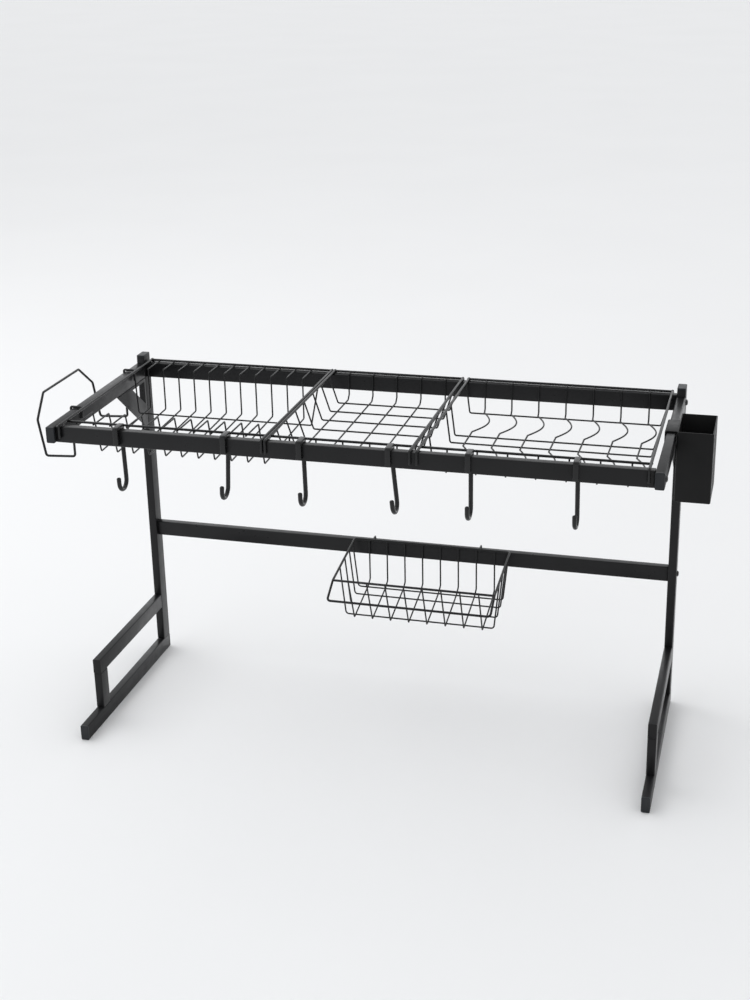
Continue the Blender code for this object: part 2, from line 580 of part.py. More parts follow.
def hanging_basket():
    """Wire basket whose rear rim lies against the crossbar and whose two hooks go over it."""
    middle = LENGTH / 2 + BASKET_OFFSET
    left, right = middle - BASKET_WIDTH / 2, middle + BASKET_WIDTH / 2
    rear_y = REAR_RAIL_FRONT - SLIP - RIM_WIRE / 2
    rim_z = CROSSBAR_TOP + 2.0
    front_y, front_z = rear_y - BASKET_RIM_DEPTH, rim_z - BASKET_RIM_FALL
    lip_y, lip_z = front_y - BASKET_LIP_DEPTH, front_z - BASKET_LIP_FALL
    loop = [(left, rear_y, rim_z), (left, front_y, front_z), (left, lip_y, lip_z), (right, lip_y, lip_z),
            (right, front_y, front_z), (right, rear_y, rim_z)]
    rims = [rod(loop, RIM_WIRE, closed=True)]
    bars = [rod([(left, front_y, front_z), (right, front_y, front_z)], RIM_WIRE)]

    floor_z = rim_z - BASKET_HEIGHT
    foot_y, foot_z = rear_y - BASKET_FLOOR_DEPTH, floor_z - BASKET_FLOOR_FALL
    wires = []
    for x in spread(left, BASKET_WIDTH, BASKET_PITCH, BASKET_FIRST_WIRE):
        path = [(x, rear_y, rim_z), (x, rear_y, floor_z + FLOOR_CHAMFER), (x, rear_y - 2 * FLOOR_CHAMFER, floor_z),
                (x, foot_y, foot_z), (x, front_y, front_z)]
        wires.append(rod(bend(path, 3.0, steps=1), THIN_WIRE))
    longs = []
    floor_start = rear_y - 2 * FLOOR_CHAMFER
    for share in BASKET_LONG_STEPS:
        y = rear_y - share * BASKET_FLOOR_DEPTH
        slope = min(1.0, max(0.0, (floor_start - y) / (floor_start - foot_y)))
        z = floor_z - slope * BASKET_FLOOR_FALL - THIN_WIRE + WELD
        top = rim_z - BASKET_RIM_FALL * (rear_y - y) / BASKET_RIM_DEPTH
        path = [(left, y, top), (left + BASKET_LEAN, y, z), (right - BASKET_LEAN, y, z), (right, y, top)]
        longs.append(rod(bend(path, 6.0, steps=1), THIN_WIRE))
    over_z = CROSSBAR_TOP + SLIP + THIN_WIRE / 2 + 1.0
    behind_y = REAR_RAIL_REAR + SLIP + THIN_WIRE / 2
    hooks = []
    hooks_middle = middle + BASKET_HOOK_SHIFT
    for x in (hooks_middle - BASKET_HOOK_SPREAD / 2, hooks_middle + BASKET_HOOK_SPREAD / 2):
        path = [(x, rear_y, rim_z - RIM_WIRE), (x, rear_y, over_z), (x, behind_y, over_z),
                (x, behind_y, over_z - BASKET_HOOK_DROP)]
        hooks.append(rod(bend(path, 2.0), THIN_WIRE))
    obj = gather(wires)
    combine(obj, gather(longs), "UNION")
    combine(obj, gather(rims), "UNION")
    combine(obj, gather(bars), "UNION")
    combine(obj, gather(hooks), "UNION")
    finish(obj, "hanging_basket", STEEL)


def arc(centre_y, centre_z, radius, start, end, steps):
    """Points of an arc in the YZ plane; angles in degrees from +Y towards +Z."""
    angles = [math.radians(start + (end - start) * i / steps) for i in range(steps + 1)]
    return [(centre_y + radius * math.cos(a), centre_z + radius * math.sin(a)) for a in angles]


def hook(name, x, lean):
    """A bar bent over the front rail, and a rod that hangs from its rear leg and ends in a forward J."""
    y0, y1 = RAIL_SETBACK - SLIP, FRONT_RAIL_REAR + SLIP
    top = ARM_TOP + JOINT_GAP
    outside = bend([(y0 - CLIP_BAR, RAIL_BOTTOM + CLIP_RISE, 0), (y0 - CLIP_BAR, top + CLIP_BAR, 0),
                    (y1 + CLIP_BAR, top + CLIP_BAR, 0), (y1 + CLIP_BAR, RAIL_BOTTOM, 0)], CLIP_CORNER)
    outline = [(p.x, p.y) for p in outside]
    outline += [(y1, RAIL_BOTTOM), (y1, top), (y0, top), (y0, RAIL_BOTTOM + CLIP_RISE)]
    obj = plate(outline, x - CLIP_WIDTH / 2, x + CLIP_WIDTH / 2)

    bottom_z = RAIL_BOTTOM - HOOK_LENGTH
    path = [(HOOK_STEM_Y, RAIL_BOTTOM + CLIP_OVERLAP)]
    path += arc(HOOK_STEM_Y - HOOK_BEND, bottom_z + HOOK_BEND, HOOK_BEND, 0, -180, 8)
    path.append((HOOK_TIP_Y, bottom_z + HOOK_TIP))
    slope = math.tan(math.radians(lean))
    leaned = [(x + slope * (RAIL_BOTTOM + CLIP_OVERLAP - z), y, z) for y, z in path]
    combine(obj, rod(leaned, HOOK_ROD, sides_extra=HOOK_SIDES_EXTRA), "UNION")
    finish(obj, name, STEEL)


def hooks():
    racks = ((PLATE_RACK_X, PLATE_RACK_WIDTH), (MIDDLE_RACK_X, MIDDLE_RACK_WIDTH), (BOWL_RACK_X, BOWL_RACK_WIDTH))
    places = [left + width * share for (left, width), shares in zip(racks, HOOK_PLACES) for share in shares]
    for number, (x, lean) in enumerate(zip(places, HOOK_LEANS), start=1):
        hook(f"hook_{number}", x, lean)


def board_holder():
    """One bent wire that hooks over the left arm twice and stands out beside it."""
    over_z = ARM_TOP + JOINT_GAP + BOARD_WIRE / 2
    inside_x = TUBE_W + SLIP + BOARD_WIRE / 2
    low_z = ARM_TOP - BOARD_DROP
    out_x = BOARD_LEG_X - BOARD_REACH
    half = [(inside_x, over_z - BOARD_HOOK_DROP, 0), (inside_x, over_z, 0), (BOARD_LEG_X, over_z, 0),
            (BOARD_LEG_X, low_z, 0), (out_x, low_z - 2.5, 0), (out_x - BOARD_KNEE_OUT, low_z + BOARD_KNEE_RISE, 0),
            (out_x - BOARD_TOP_OUT, low_z + BOARD_TOP_RISE, BOARD_TOP_INSET)]
    front = [(x, BOARD_FRONT + inset, z) for x, z, inset in half]
    rear = [(x, BOARD_FRONT + BOARD_SPAN - inset, z) for x, z, inset in reversed(half)]
    obj = rod(bend(front + rear, BOARD_WIRE * 0.65), BOARD_WIRE, sides_extra=HOOK_SIDES_EXTRA)
    finish(obj, "board_holder", STEEL)


def utensil_box():
    """Open-topped box beside the right arm, hung on it by a wide flange."""
    x0, x1 = BOX_LEFT, BOX_LEFT + BOX_WIDTH
    y0, y1 = BOX_FRONT, BOX_FRONT + BOX_DEPTH
    z1 = ARM_TOP + BOX_RISE
    z0 = z1 - BOX_HEIGHT
    obj = block((x0, y0, z0), (x1, y1, z1))
    hollow = block((x0 + BOX_WALL, y0 + BOX_WALL, z0 + BOX_WALL), (x1 - BOX_WALL, y1 - BOX_WALL, z1 + 1))
    combine(obj, hollow, "DIFFERENCE")

    flange_y0 = y0 + FLANGE_SETBACK
    flange_y1 = min(flange_y0 + FLANGE_WIDTH, y1)
    flange_z0 = ARM_TOP + JOINT_GAP
    lip_x = RIGHT_FRAME - SLIP - FLANGE_SHEET
    flange = block((lip_x, flange_y0, flange_z0), (x0 + BOX_WALL / 2, flange_y1, flange_z0 + FLANGE_SHEET))
    lip = block((lip_x, flange_y0, flange_z0 - FLANGE_DROP),
                (lip_x + FLANGE_SHEET, flange_y1, flange_z0 + FLANGE_SHEET / 2))
    combine(flange, lip, "UNION")
    combine(obj, flange, "UNION")

    columns = int((BOX_DEPTH - BOX_HOLE_PITCH) // BOX_HOLE_PITCH)
    rows = int((BOX_HEIGHT - BOX_HOLE_PITCH) // BOX_HOLE_PITCH)
    y_first = (y0 + y1 - (columns - 1) * BOX_HOLE_PITCH) / 2
    z_first = (z0 + z1 - (rows - 1) * BOX_HOLE_PITCH) / 2
    holes = [pin((x1 - BOX_WALL - 1, y_first + i * BOX_HOLE_PITCH, z_first + j * BOX_HOLE_PITCH), "X",
                 BOX_HOLE / 2, BOX_WALL + 2, 8) for i in range(columns) for j in range(rows)]
    combine(obj, gather(holes), "DIFFERENCE")
    drains = [pin(((x0 + x1) / 2, y_first + i * BOX_HOLE_PITCH, z0 - 1), "Z", BOX_HOLE / 2, BOX_WALL + 2, 8)
              for i in range(columns)]
    combine(obj, gather(drains), "DIFFERENCE")
    finish(obj, "utensil_box", STEEL)


clear_scene()
RACK = bpy.data.collections.new("dish_drying_rack")
WORK = bpy.data.collections.new("work")
bpy.context.scene.collection.children.link(RACK)
bpy.context.scene.collection.children.link(WORK)
ORIGIN = bpy.data.objects.new("footprint_middle", None)
RACK.objects.link(ORIGIN)
STEEL = make_material("powder_coat", BLACK, 0.42, 0.0)
PLASTIC = make_material("cap_plastic", PLASTIC_BLACK, 0.55, 0.0)
BOLT = make_material("bolt_black", BLACK, 0.35, 0.6)

end_frame("left", 0.0)
end_frame("right", RIGHT_FRAME)
cross_rail("front_rail", RAIL_SETBACK, ARM_TOP)
cross_rail("rear_rail", REAR_RAIL_FRONT, ARM_TOP)
cross_rail("crossbar", REAR_RAIL_FRONT, CROSSBAR_TOP)
for frame_side in ("left", "right"):
    bolt("front_rail_bolt", frame_side, RAIL_MIDDLE_Y, ARM_TOP - TUBE_H / 2)
    bolt("rear_rail_bolt", frame_side, REAR_RAIL_FRONT + TUBE_W / 2, ARM_TOP - TUBE_H / 2)
    bolt("crossbar_bolt", frame_side, REAR_RAIL_FRONT + TUBE_W / 2, CROSSBAR_TOP - TUBE_H / 2)
plate_rack()
middle_rack()
bowl_rack()
hanging_basket()
hooks()
board_holder()
utensil_box()
bpy.data.collections.remove(WORK)
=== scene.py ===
"""Looks of the dish drying rack: the CAD pieces get detailed pieces with rounded edges, smooth wires and
powder-coat, plastic or oxide materials, then come a pale floor, soft studio light and the camera.

Places are in millimetres from the left frame's outer face, the arms' front ends and the floor; at() turns
them into the row frame's metres.
"""
import math

import bmesh
import bpy
from mathutils import Matrix, Vector


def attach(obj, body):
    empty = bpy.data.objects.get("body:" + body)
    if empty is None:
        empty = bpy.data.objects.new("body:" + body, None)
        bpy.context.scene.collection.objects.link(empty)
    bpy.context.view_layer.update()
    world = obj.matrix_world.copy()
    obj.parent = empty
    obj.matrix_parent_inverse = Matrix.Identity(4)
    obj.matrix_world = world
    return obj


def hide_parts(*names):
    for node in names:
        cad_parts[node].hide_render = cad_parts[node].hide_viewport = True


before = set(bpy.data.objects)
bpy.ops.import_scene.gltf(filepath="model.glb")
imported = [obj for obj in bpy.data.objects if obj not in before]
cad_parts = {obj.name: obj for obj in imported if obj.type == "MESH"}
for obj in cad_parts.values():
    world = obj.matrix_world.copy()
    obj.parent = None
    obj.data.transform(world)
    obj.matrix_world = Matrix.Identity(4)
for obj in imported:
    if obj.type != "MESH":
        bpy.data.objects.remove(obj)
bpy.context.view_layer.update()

MM = 0.001
TINY = 1e-6               # metres
SHORTEST_STEP = 2e-5      # metres between a wire's rings

# Sizes of the frame
LENGTH = 850.0
DEPTH = 340.0
ARM_TOP = 505.0
TUBE_W = 12.5
TUBE_H = 23.5
POST_TOP = 517.5
FOOT_FRONT = 18.0
UPRIGHT_FRONT = 77.0
UPPER_BAR_TOP = 105.0
RAIL_FRONT = 6.0
REAR_RAIL_FRONT = 322.0
CROSSBAR_TOP = 234.5
CAP = 3.0
CAP_CORNER, CAP_CROWN = 1.9, 1.1
PLUG_INSET = 1.6
GAP = 0.3
TUBE_CORNER = 1.7
GUSSET_RUN = 104.5
GUSSET_DROP = 85.0
GUSSET_MARGIN = 5.0
GUSSET_HOLE = 0.42
GUSSET_SHEET = 2.0
BOLT_HEAD = ((0.0, 4.5), (0.5, 4.5), (1.1, 4.25), (1.7, 3.8), (2.2, 3.1), (2.5, 2.3))   # rise and radius
SOCKET_RADIUS, SOCKET_FLOOR = 1.705, 1.0
SHANK_RADIUS, SHANK_LENGTH = 2.7, 21.0

# Sizes of the racks
FRAME_WIRE = 4.0
RIM_WIRE = 3.6
THIN_WIRE = 2.4
BOARD_WIRE = 3.6
SLIP = 0.4
SIDE_WIRE_DROP = 18.0     # hooks of the side wires below their own middle
RIM_PAST = 0.6            # rims past the side wires' centres
CROSS_PAST = 1.4          # cross wires past the rear rim's centre
SIDE_WIRE_Z = ARM_TOP + GAP + FRAME_WIRE / 2
LONG_TOP_Z = SIDE_WIRE_Z - 0.8
FRONT_RIM_Y = 32.0
FRONT_RIM_Z = 504.5
REAR_RIM_Y = 332.0
CROSS_TOP_Z = ARM_TOP + SLIP + THIN_WIRE / 2
FRONT_RAIL_REAR = RAIL_FRONT + TUBE_W
REAR_RAIL_REAR = REAR_RAIL_FRONT + TUBE_W
POST_FRONT = DEPTH - TUBE_H
RIGHT_FRAME = LENGTH - TUBE_W
RAIL_BOTTOM = ARM_TOP - TUBE_H
SPOT = 1.4                # radius of the usual weld spot
SINK = 0.5                # how far crossing wires melt into each other
PLATE_LEFT, PLATE_WIDTH = 19.1, 296.4
PLATE_WIRES, PLATE_PITCH, PLATE_FIRST_WIRE = 11, 25.1, 13.9
PLATE_FLOOR_DROP, PLATE_FOOT_DROP = 61.5, 68.5
PLATE_BACK_Y, PLATE_FOOT_Y, PLATE_PEAK_Y = 284.0, 101.0, 83.0
PLATE_CROSSING = 21.0     # long wire in front of the cross wires' rear bend
PLATE_LEAN_LEFT, PLATE_LEAN_RIGHT = 3.0, 13.0
MIDDLE_LEFT, MIDDLE_WIDTH = 320.5, 199.5
MIDDLE_WIRES, MIDDLE_PITCH, MIDDLE_FIRST_WIRE = 5, 37.5, 25.5
MIDDLE_LONGS, MIDDLE_LONG_PITCH, MIDDLE_LAST_LONG = 7, 41.3, 302.0
MIDDLE_FLOOR_DROP, MIDDLE_LEAN = 37.0, 13.0
MIDDLE_CHAMFER, MIDDLE_FRONT_CHAMFER = 7.0, 13.0
BOWL_LEFT, BOWL_WIDTH = 529.5, 300.5
BOWL_WIRES, BOWL_PITCH, BOWL_FIRST_WIRE = 7, 40.3, 27.5
BOWL_FLOOR_DROP, BOWL_LEAN_LEFT, BOWL_LEAN_RIGHT = 43.0, 5.5, 13.0
BOWL_CHAMFER, BOWL_FRONT_CHAMFER, BOWL_FRONT_SHIFT = 4.0, 24.0, 7.0
BOWL_SWELL, BOWL_SWELL_LENGTH, BOWL_STRAIGHT = 15.5, 290.0 * 0.304, 290.0 * 0.214
BOWL_FIRST_SWELL_Y = 314.0

# Sizes of the hanging basket
BASKET_OFFSET = 48.0      # right of the rack's middle
BASKET_WIDTH = 248.0
BASKET_RIM_DEPTH, BASKET_RIM_FALL = 122.0, 17.5
BASKET_LIP_DEPTH, BASKET_LIP_FALL = 32.0, 19.0
BASKET_DROP, BASKET_FLOOR_DEPTH, BASKET_FLOOR_FALL = 74.0, 93.0, 16.0
BASKET_REAR_RUN, BASKET_REAR_RISE = 14.0, 7.0
BASKET_WIRES, BASKET_PITCH, BASKET_FIRST_WIRE = 8, 28.6, 24.0
BASKET_LONG_SHARES = (0.13, 0.35, 0.61, 0.90)
BASKET_LEAN = 8.0
BASKET_HOOK_SHIFT, BASKET_HOOK_REACH = -9.2, 85.25
BASKET_HOOK_DROP = 14.0
BASKET_SPOT = 1.5

# Sizes of the hooks, the board holder and the utensil box
HOOK_ROD = 6.2
HOOK_BAR, HOOK_BAR_WIDTH, HOOK_CORNER = 5.6, 7.5, 3.2
HOOK_FRONT_RISE = 3.0     # front leg's lower end above the rail's underside
HOOK_OVERLAP = 14.0       # rod's upper end above the rail's underside
HOOK_LENGTH, HOOK_BEND, HOOK_TIP = 63.0, 12.0, 19.0
HOOK_PLACES = ((PLATE_LEFT, PLATE_WIDTH, (0.289, 0.817)), (MIDDLE_LEFT, MIDDLE_WIDTH, (0.241, 0.855)),
               (BOWL_LEFT, BOWL_WIDTH, (0.228, 0.694)))
HOOK_LEANS = (1.5, -3.0, 1.0, 5.5, 0.0, 0.5)
HOLDER_FRONT, HOLDER_REAR = 86.0, 272.0
HOLDER_DROP, HOLDER_INNER_DROP, HOLDER_LEDGE = 74.0, 16.0, 46.0
BOX_LEFT, BOX_RIGHT, BOX_FRONT, BOX_REAR = 852.0, 900.6, 146.0, 227.0
BOX_RISE, BOX_HEIGHT, BOX_WALL = 5.0, 100.0, 1.5
BOX_HOLE, BOX_HOLE_PITCH = 7.0, 14.0
BOX_HOLE_COLUMNS, BOX_HOLE_ROWS = 4, 6
FLANGE_SHEET, FLANGE_DROP = 2.2, 14.0
FLANGE_START, FLANGE_END = 10.0, 59.0

# The CAD model's box gives the row frame's origin
HOLDER_LEFT = -64.0
HOOKS_FRONT = -4.9
CENTRE_X = (HOLDER_LEFT + BOX_RIGHT) / 2
CENTRE_Y = (HOOKS_FRONT + DEPTH) / 2


def at(x, y, z):
    """A place in millimetres, in the row frame's metres."""
    return Vector(((x - CENTRE_X) * MM, (y - CENTRE_Y) * MM, z * MM))


# ---------------------------------------------------------------- materials

def node(tree, kind, place, **inputs):
    """Adds a shader node; an input's name is written with underscores for spaces."""
    made = tree.nodes.new(kind)
    made.location = place
    for name, value in inputs.items():
        made.inputs[name.replace("_", " ")].default_value = value
    return made


def coated(name, dark, light, rough, rough_spread, grain, grain_height, specular=0.5, coat=0.0):
    """A black finish: fine orange-peel bump, cloudy colour and roughness, and edges made paler as a painted
    highlight.
    """
    material = bpy.data.materials.new(name)
    material.use_nodes = True
    tree = material.node_tree
    shader = tree.nodes["Principled BSDF"]
    shader.inputs["IOR"].default_value = 1.5
    shader.inputs["Specular IOR Level"].default_value = specular
    shader.inputs["Coat Weight"].default_value = coat
    shader.inputs["Coat Roughness"].default_value = 0.25
    place = tree.nodes.new("ShaderNodeTexCoord")
    place.location = (-1100, 0)

    cloud = node(tree, "ShaderNodeTexNoise", (-850, 250), Scale=22.0, Detail=4.0, Roughness=0.55)
    tree.links.new(place.outputs["Object"], cloud.inputs["Vector"])
    colour = tree.nodes.new("ShaderNodeValToRGB")
    colour.location = (-600, 300)
    colour.color_ramp.elements[0].position = 0.32
    colour.color_ramp.elements[0].color = (*dark, 1.0)
    colour.color_ramp.elements[1].position = 0.72
    colour.color_ramp.elements[1].color = (*light, 1.0)
    tree.links.new(cloud.outputs["Fac"], colour.inputs["Fac"])

    # Painted highlight: convex edges, found by Pointiness, get a paler colour that stands in for light caught
    # along them.
    geometry = tree.nodes.new("ShaderNodeNewGeometry")
    geometry.location = (-850, 560)
    edge = tree.nodes.new("ShaderNodeMapRange")
    edge.location = (-600, 560)
    edge.inputs["From Min"].default_value = 0.53
    edge.inputs["From Max"].default_value = 0.62
    edge.inputs["To Max"].default_value = 0.35
    tree.links.new(geometry.outputs["Pointiness"], edge.inputs["Value"])
    painted_edge_highlight = tree.nodes.new("ShaderNodeMix")
    painted_edge_highlight.data_type = "RGBA"
    painted_edge_highlight.location = (-350, 380)
    painted_edge_highlight.inputs["B"].default_value = (0.035, 0.035, 0.037, 1.0)
    tree.links.new(edge.outputs["Result"], painted_edge_highlight.inputs["Factor"])
    tree.links.new(colour.outputs["Color"], painted_edge_highlight.inputs["A"])
    tree.links.new(painted_edge_highlight.outputs["Result"], shader.inputs["Base Color"])

    patches = node(tree, "ShaderNodeTexNoise", (-850, -60), Scale=60.0, Detail=3.0, Roughness=0.6)
    tree.links.new(place.outputs["Object"], patches.inputs["Vector"])
    roughness = tree.nodes.new("ShaderNodeMapRange")
    roughness.location = (-350, -60)
    roughness.inputs["From Min"].default_value = 0.3
    roughness.inputs["From Max"].default_value = 0.7
    roughness.inputs["To Min"].default_value = rough - rough_spread
    roughness.inputs["To Max"].default_value = rough + rough_spread
    tree.links.new(patches.outputs["Fac"], roughness.inputs["Value"])
    tree.links.new(roughness.outputs["Result"], shader.inputs["Roughness"])

    peel = node(tree, "ShaderNodeTexNoise", (-850, -340), Scale=grain, Detail=2.0, Roughness=0.5)
    tree.links.new(place.outputs["Object"], peel.inputs["Vector"])
    bump = node(tree, "ShaderNodeBump", (-350, -340), Strength=1.0, Distance=grain_height)
    tree.links.new(peel.outputs["Fac"], bump.inputs["Height"])
    tree.links.new(bump.outputs["Normal"], shader.inputs["Normal"])
    return material


def plain_floor():
    material = bpy.data.materials.new("floor_paper")
    material.use_nodes = True
    tree = material.node_tree
    shader = tree.nodes["Principled BSDF"]
    shader.inputs["Roughness"].default_value = 0.75
    shader.inputs["Specular IOR Level"].default_value = 0.25
    place = tree.nodes.new("ShaderNodeTexCoord")
    cloud = node(tree, "ShaderNodeTexNoise", (-600, 0), Scale=1.6, Detail=3.0)
    tree.links.new(place.outputs["Object"], cloud.inputs["Vector"])
    ramp = tree.nodes.new("ShaderNodeValToRGB")
    ramp.color_ramp.elements[0].color = (0.85, 0.85, 0.85, 1.0)
    ramp.color_ramp.elements[1].color = (0.88, 0.88, 0.88, 1.0)
    tree.links.new(cloud.outputs["Fac"], ramp.inputs["Fac"])
    tree.links.new(ramp.outputs["Color"], shader.inputs["Base Color"])
    return material


TUBE_COAT = coated("tube_powder_coat", (0.0055, 0.0055, 0.0060), (0.0085, 0.0085, 0.0090),
                   0.33, 0.06, 900.0, 0.00005, specular=0.24)
WIRE_COAT = coated("wire_powder_coat", (0.0035, 0.0035, 0.0037), (0.0060, 0.0060, 0.0062),
                   0.30, 0.05, 1100.0, 0.00003, specular=0.32)
SHEET_COAT = coated("sheet_powder_coat", (0.0040, 0.0040, 0.0040), (0.0065, 0.0065, 0.0065),
                    0.42, 0.06, 800.0, 0.00006, specular=0.18)
HOOK_COAT = coated("hook_lacquer", (0.0040, 0.0040, 0.0042), (0.0070, 0.0070, 0.0073),
                   0.24, 0.05, 700.0, 0.00004, specular=0.34, coat=0.06)
# Cap colour: the lighter black is partly the plastic's own tone and partly painted light; its blue tint is
# painted cool light.
CAP_PLASTIC = coated("cap_plastic", (0.0110, 0.0130, 0.0155), (0.0170, 0.0195, 0.0225),
                     0.44, 0.06, 1500.0, 0.00004, specular=0.30)
BOLT_OXIDE = coated("bolt_black_oxide", (0.012, 0.012, 0.013), (0.020, 0.020, 0.021),
                    0.28, 0.07, 1400.0, 0.00003)


# ---------------------------------------------------------------- shapes

def show(mesh, name, material, body, nodes):
    """Puts a mesh in the scene as a piece that rides on a body and stands for the CAD nodes."""
    obj = bpy.data.objects.new(name, mesh)
    bpy.context.scene.collection.objects.link(obj)
    mesh.materials.clear()
    mesh.materials.append(material)
    mesh.shade_smooth()
    mesh.set_sharp_from_angle(angle=math.radians(50))
    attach(obj, body)
    if nodes:
        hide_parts(*nodes)
    return obj


def mesh_from(bm, name):
    mesh = bpy.data.meshes.new(name)
    bmesh.ops.recalc_face_normals(bm, faces=bm.faces)
    bm.to_mesh(mesh)
    bm.free()
    return mesh


def add_box(bm, low, high):
    """Adds a box between two corners in millimetres and returns its vertices."""
    a, b = at(*low), at(*high)
    size = b - a
    shape = Matrix.Translation((a + b) / 2) @ Matrix.Diagonal((*size, 1.0))
    return bmesh.ops.create_cube(bm, size=1.0, matrix=shape)["verts"]


def edges_along(verts, axis):
    """A box's edges that run along the axis."""
    along = []
    for edge in {edge for vert in verts for edge in vert.link_edges}:
        run = edge.verts[0].co - edge.verts[1].co
        if abs(run[axis]) > 0.9 * run.length:
            along.append(edge)
    return along


def bevel(bm, edges, offset, segments, profile=0.5, clamp=True):
    """Rounds edges by an offset in millimetres."""
    bmesh.ops.bevel(bm, geom=edges, offset=offset * MM, segments=segments, profile=profile, affect="EDGES",
                    clamp_overlap=clamp)


def sharp_edges(edges):
    """The edges whose two faces meet at more than about 57 degrees."""
    return [e for e in edges if len(e.link_faces) == 2 and e.calc_face_angle() > 1.0]


def edges_at(bm, axis, place):
    """The edges that lie in the plane across the axis at the place, in metres."""
    return [e for e in bm.edges if all(abs(v.co[axis] - place) < TINY for v in e.verts)]


def add_tube(bm, low, high, axis, corner=TUBE_CORNER, lip=0.35):
    """Adds a rectangular tube with rounded long edges and slightly broken ends."""
    verts = add_box(bm, low, high)
    index = "XYZ".index(axis)
    bevel(bm, edges_along(verts, index), corner, 5)
    rims = edges_at(bm, index, at(*low)[index]) + edges_at(bm, index, at(*high)[index])
    bevel(bm, rims, lip, 2)


def tube_piece(name, low, high, axis, node_name):
    bm = bmesh.new()
    add_tube(bm, low, high, axis)
    return show(mesh_from(bm, name), name, TUBE_COAT, "frame", [node_name])


def cap_piece(name, low, high, axis, outward, node_name, plug=5.0):
    """A moulded end cap: a plate with a crowned rim and a plug inside the tube."""
    bm = bmesh.new()
    index = "XYZ".index(axis)
    verts = add_box(bm, low, high)
    bevel(bm, edges_along(verts, index), CAP_CORNER, 5, clamp=False)
    face_at = at(*high)[index] if outward > 0 else at(*low)[index]
    bevel(bm, edges_at(bm, index, face_at), CAP_CROWN, 4, profile=0.55, clamp=False)
    plug_low = [v + PLUG_INSET for v in low]
    plug_high = [v - PLUG_INSET for v in high]
    if outward > 0:
        plug_low[index], plug_high[index] = low[index] - plug, low[index] + 0.2
    else:
        plug_low[index], plug_high[index] = high[index] - 0.2, high[index] + plug
    add_box(bm, plug_low, plug_high)
    return show(mesh_from(bm, name), name, CAP_PLASTIC, "frame", [node_name])


def rounded_path(points, radius, steps=5):
    """A path with arcs of the given radius at its corners; radius may be a list with one entry per corner."""
    points = [Vector(p) for p in points]
    corners = points[1:-1]
    radii = radius if isinstance(radius, (list, tuple)) else [radius] * len(corners)
    path = [points[0]]
    for before, corner, after, r in zip(points, corners, points[2:], radii):
        back, ahead = (before - corner).normalized(), (after - corner).normalized()
        half = back.angle(ahead) / 2
        if half > 1.55 or r <= 0:
            path.append(corner)
            continue
        reach = min(r / math.tan(half), 0.48 * (before - corner).length, 0.48 * (after - corner).length)
        start, end = corner + back * reach, corner + ahead * reach
        middle = corner + (back + ahead).normalized() * (reach / math.cos(half))
        size = (start - middle).length
        first, last = (start - middle).normalized(), (end - middle).normalized()
        path += [middle + first.slerp(last, i / steps) * size for i in range(steps + 1)]
    path.append(points[-1])
    return path


def add_wire(bm, path, diameter, sides=10, closed=False):
    """Sweeps a circle along a path in millimetres with frames that don't twist; ends are domed."""
    places = [at(*p) for p in path]
    kept = [places[0]]
    for place in places[1:]:
        if (place - kept[-1]).length > SHORTEST_STEP:
            kept.append(place)
    if closed and (kept[0] - kept[-1]).length < SHORTEST_STEP:
        kept.pop()
    count = len(kept)
    tangents = []
    for i in range(count):
        before = kept[i - 1] if i or closed else kept[i]
        after = kept[(i + 1) % count] if i < count - 1 or closed else kept[i]
        tangents.append((after - before).normalized())
    side = tangents[0].orthogonal().normalized()
    r = diameter / 2 * MM
    rings = []
    for i, (place, tangent) in enumerate(zip(kept, tangents)):
        side = (side - tangent * side.dot(tangent)).normalized()
        up = tangent.cross(side)
        stretch = 1.0
        if 0 < i < count - 1 or closed:
            into = (place - kept[i - 1]).normalized()
            stretch = 1.0 / max(0.7, math.cos(into.angle(tangent)))
        turn = (kept[(i + 1) % count] - place).normalized() - (place - kept[i - 1]).normalized()
        lean = turn.normalized() if turn.length > 1e-4 and stretch > 1.0001 else None
        ring = []
        for k in range(sides):
            a = 2 * math.pi * k / sides
            offset = (side * math.cos(a) + up * math.sin(a)) * r
            if lean is not None:
                offset += lean * offset.dot(lean) * (stretch - 1.0)
            ring.append(bm.verts.new(place + offset))
        rings.append(ring)
    pairs = list(zip(rings, rings[1:]))
    if closed:
        pairs.append((rings[-1], rings[0]))
    for a, b in pairs:
        for k in range(sides):
            bm.faces.new((a[k], a[(k + 1) % sides], b[(k + 1) % sides], b[k]))
    if not closed:
        add_dome(bm, rings[0], kept[0], -tangents[0], r, flip=True)
        add_dome(bm, rings[-1], kept[-1], tangents[-1], r, flip=False)


def add_dome(bm, ring, centre, outward, r, flip):
    """Closes a wire's end with a low dome that stands half a radius past it."""
    sides = len(ring)
    shrunk = ring
    for share, rise in ((0.8, 0.3), (0.45, 0.5)):
        new = [bm.verts.new(centre + (v.co - centre) * share + outward * r * rise) for v in ring]
        for k in range(sides):
            quad = (shrunk[k], shrunk[(k + 1) % sides], new[(k + 1) % sides], new[k])
            bm.faces.new(quad if not flip else quad[::-1])
        shrunk = new
    bm.faces.new(shrunk if not flip else shrunk[::-1])


def add_spot(bm, x, y, z, size=SPOT):
    """A small blob of melted metal where two wires are spot-welded."""
    shape = Matrix.Translation(at(x, y, z)) @ Matrix.Diagonal((size * MM, size * MM, size * 0.75 * MM, 1.0))
    bmesh.ops.create_icosphere(bm, subdivisions=2, radius=1.0, matrix=shape)


# ---------------------------------------------------------------- frame

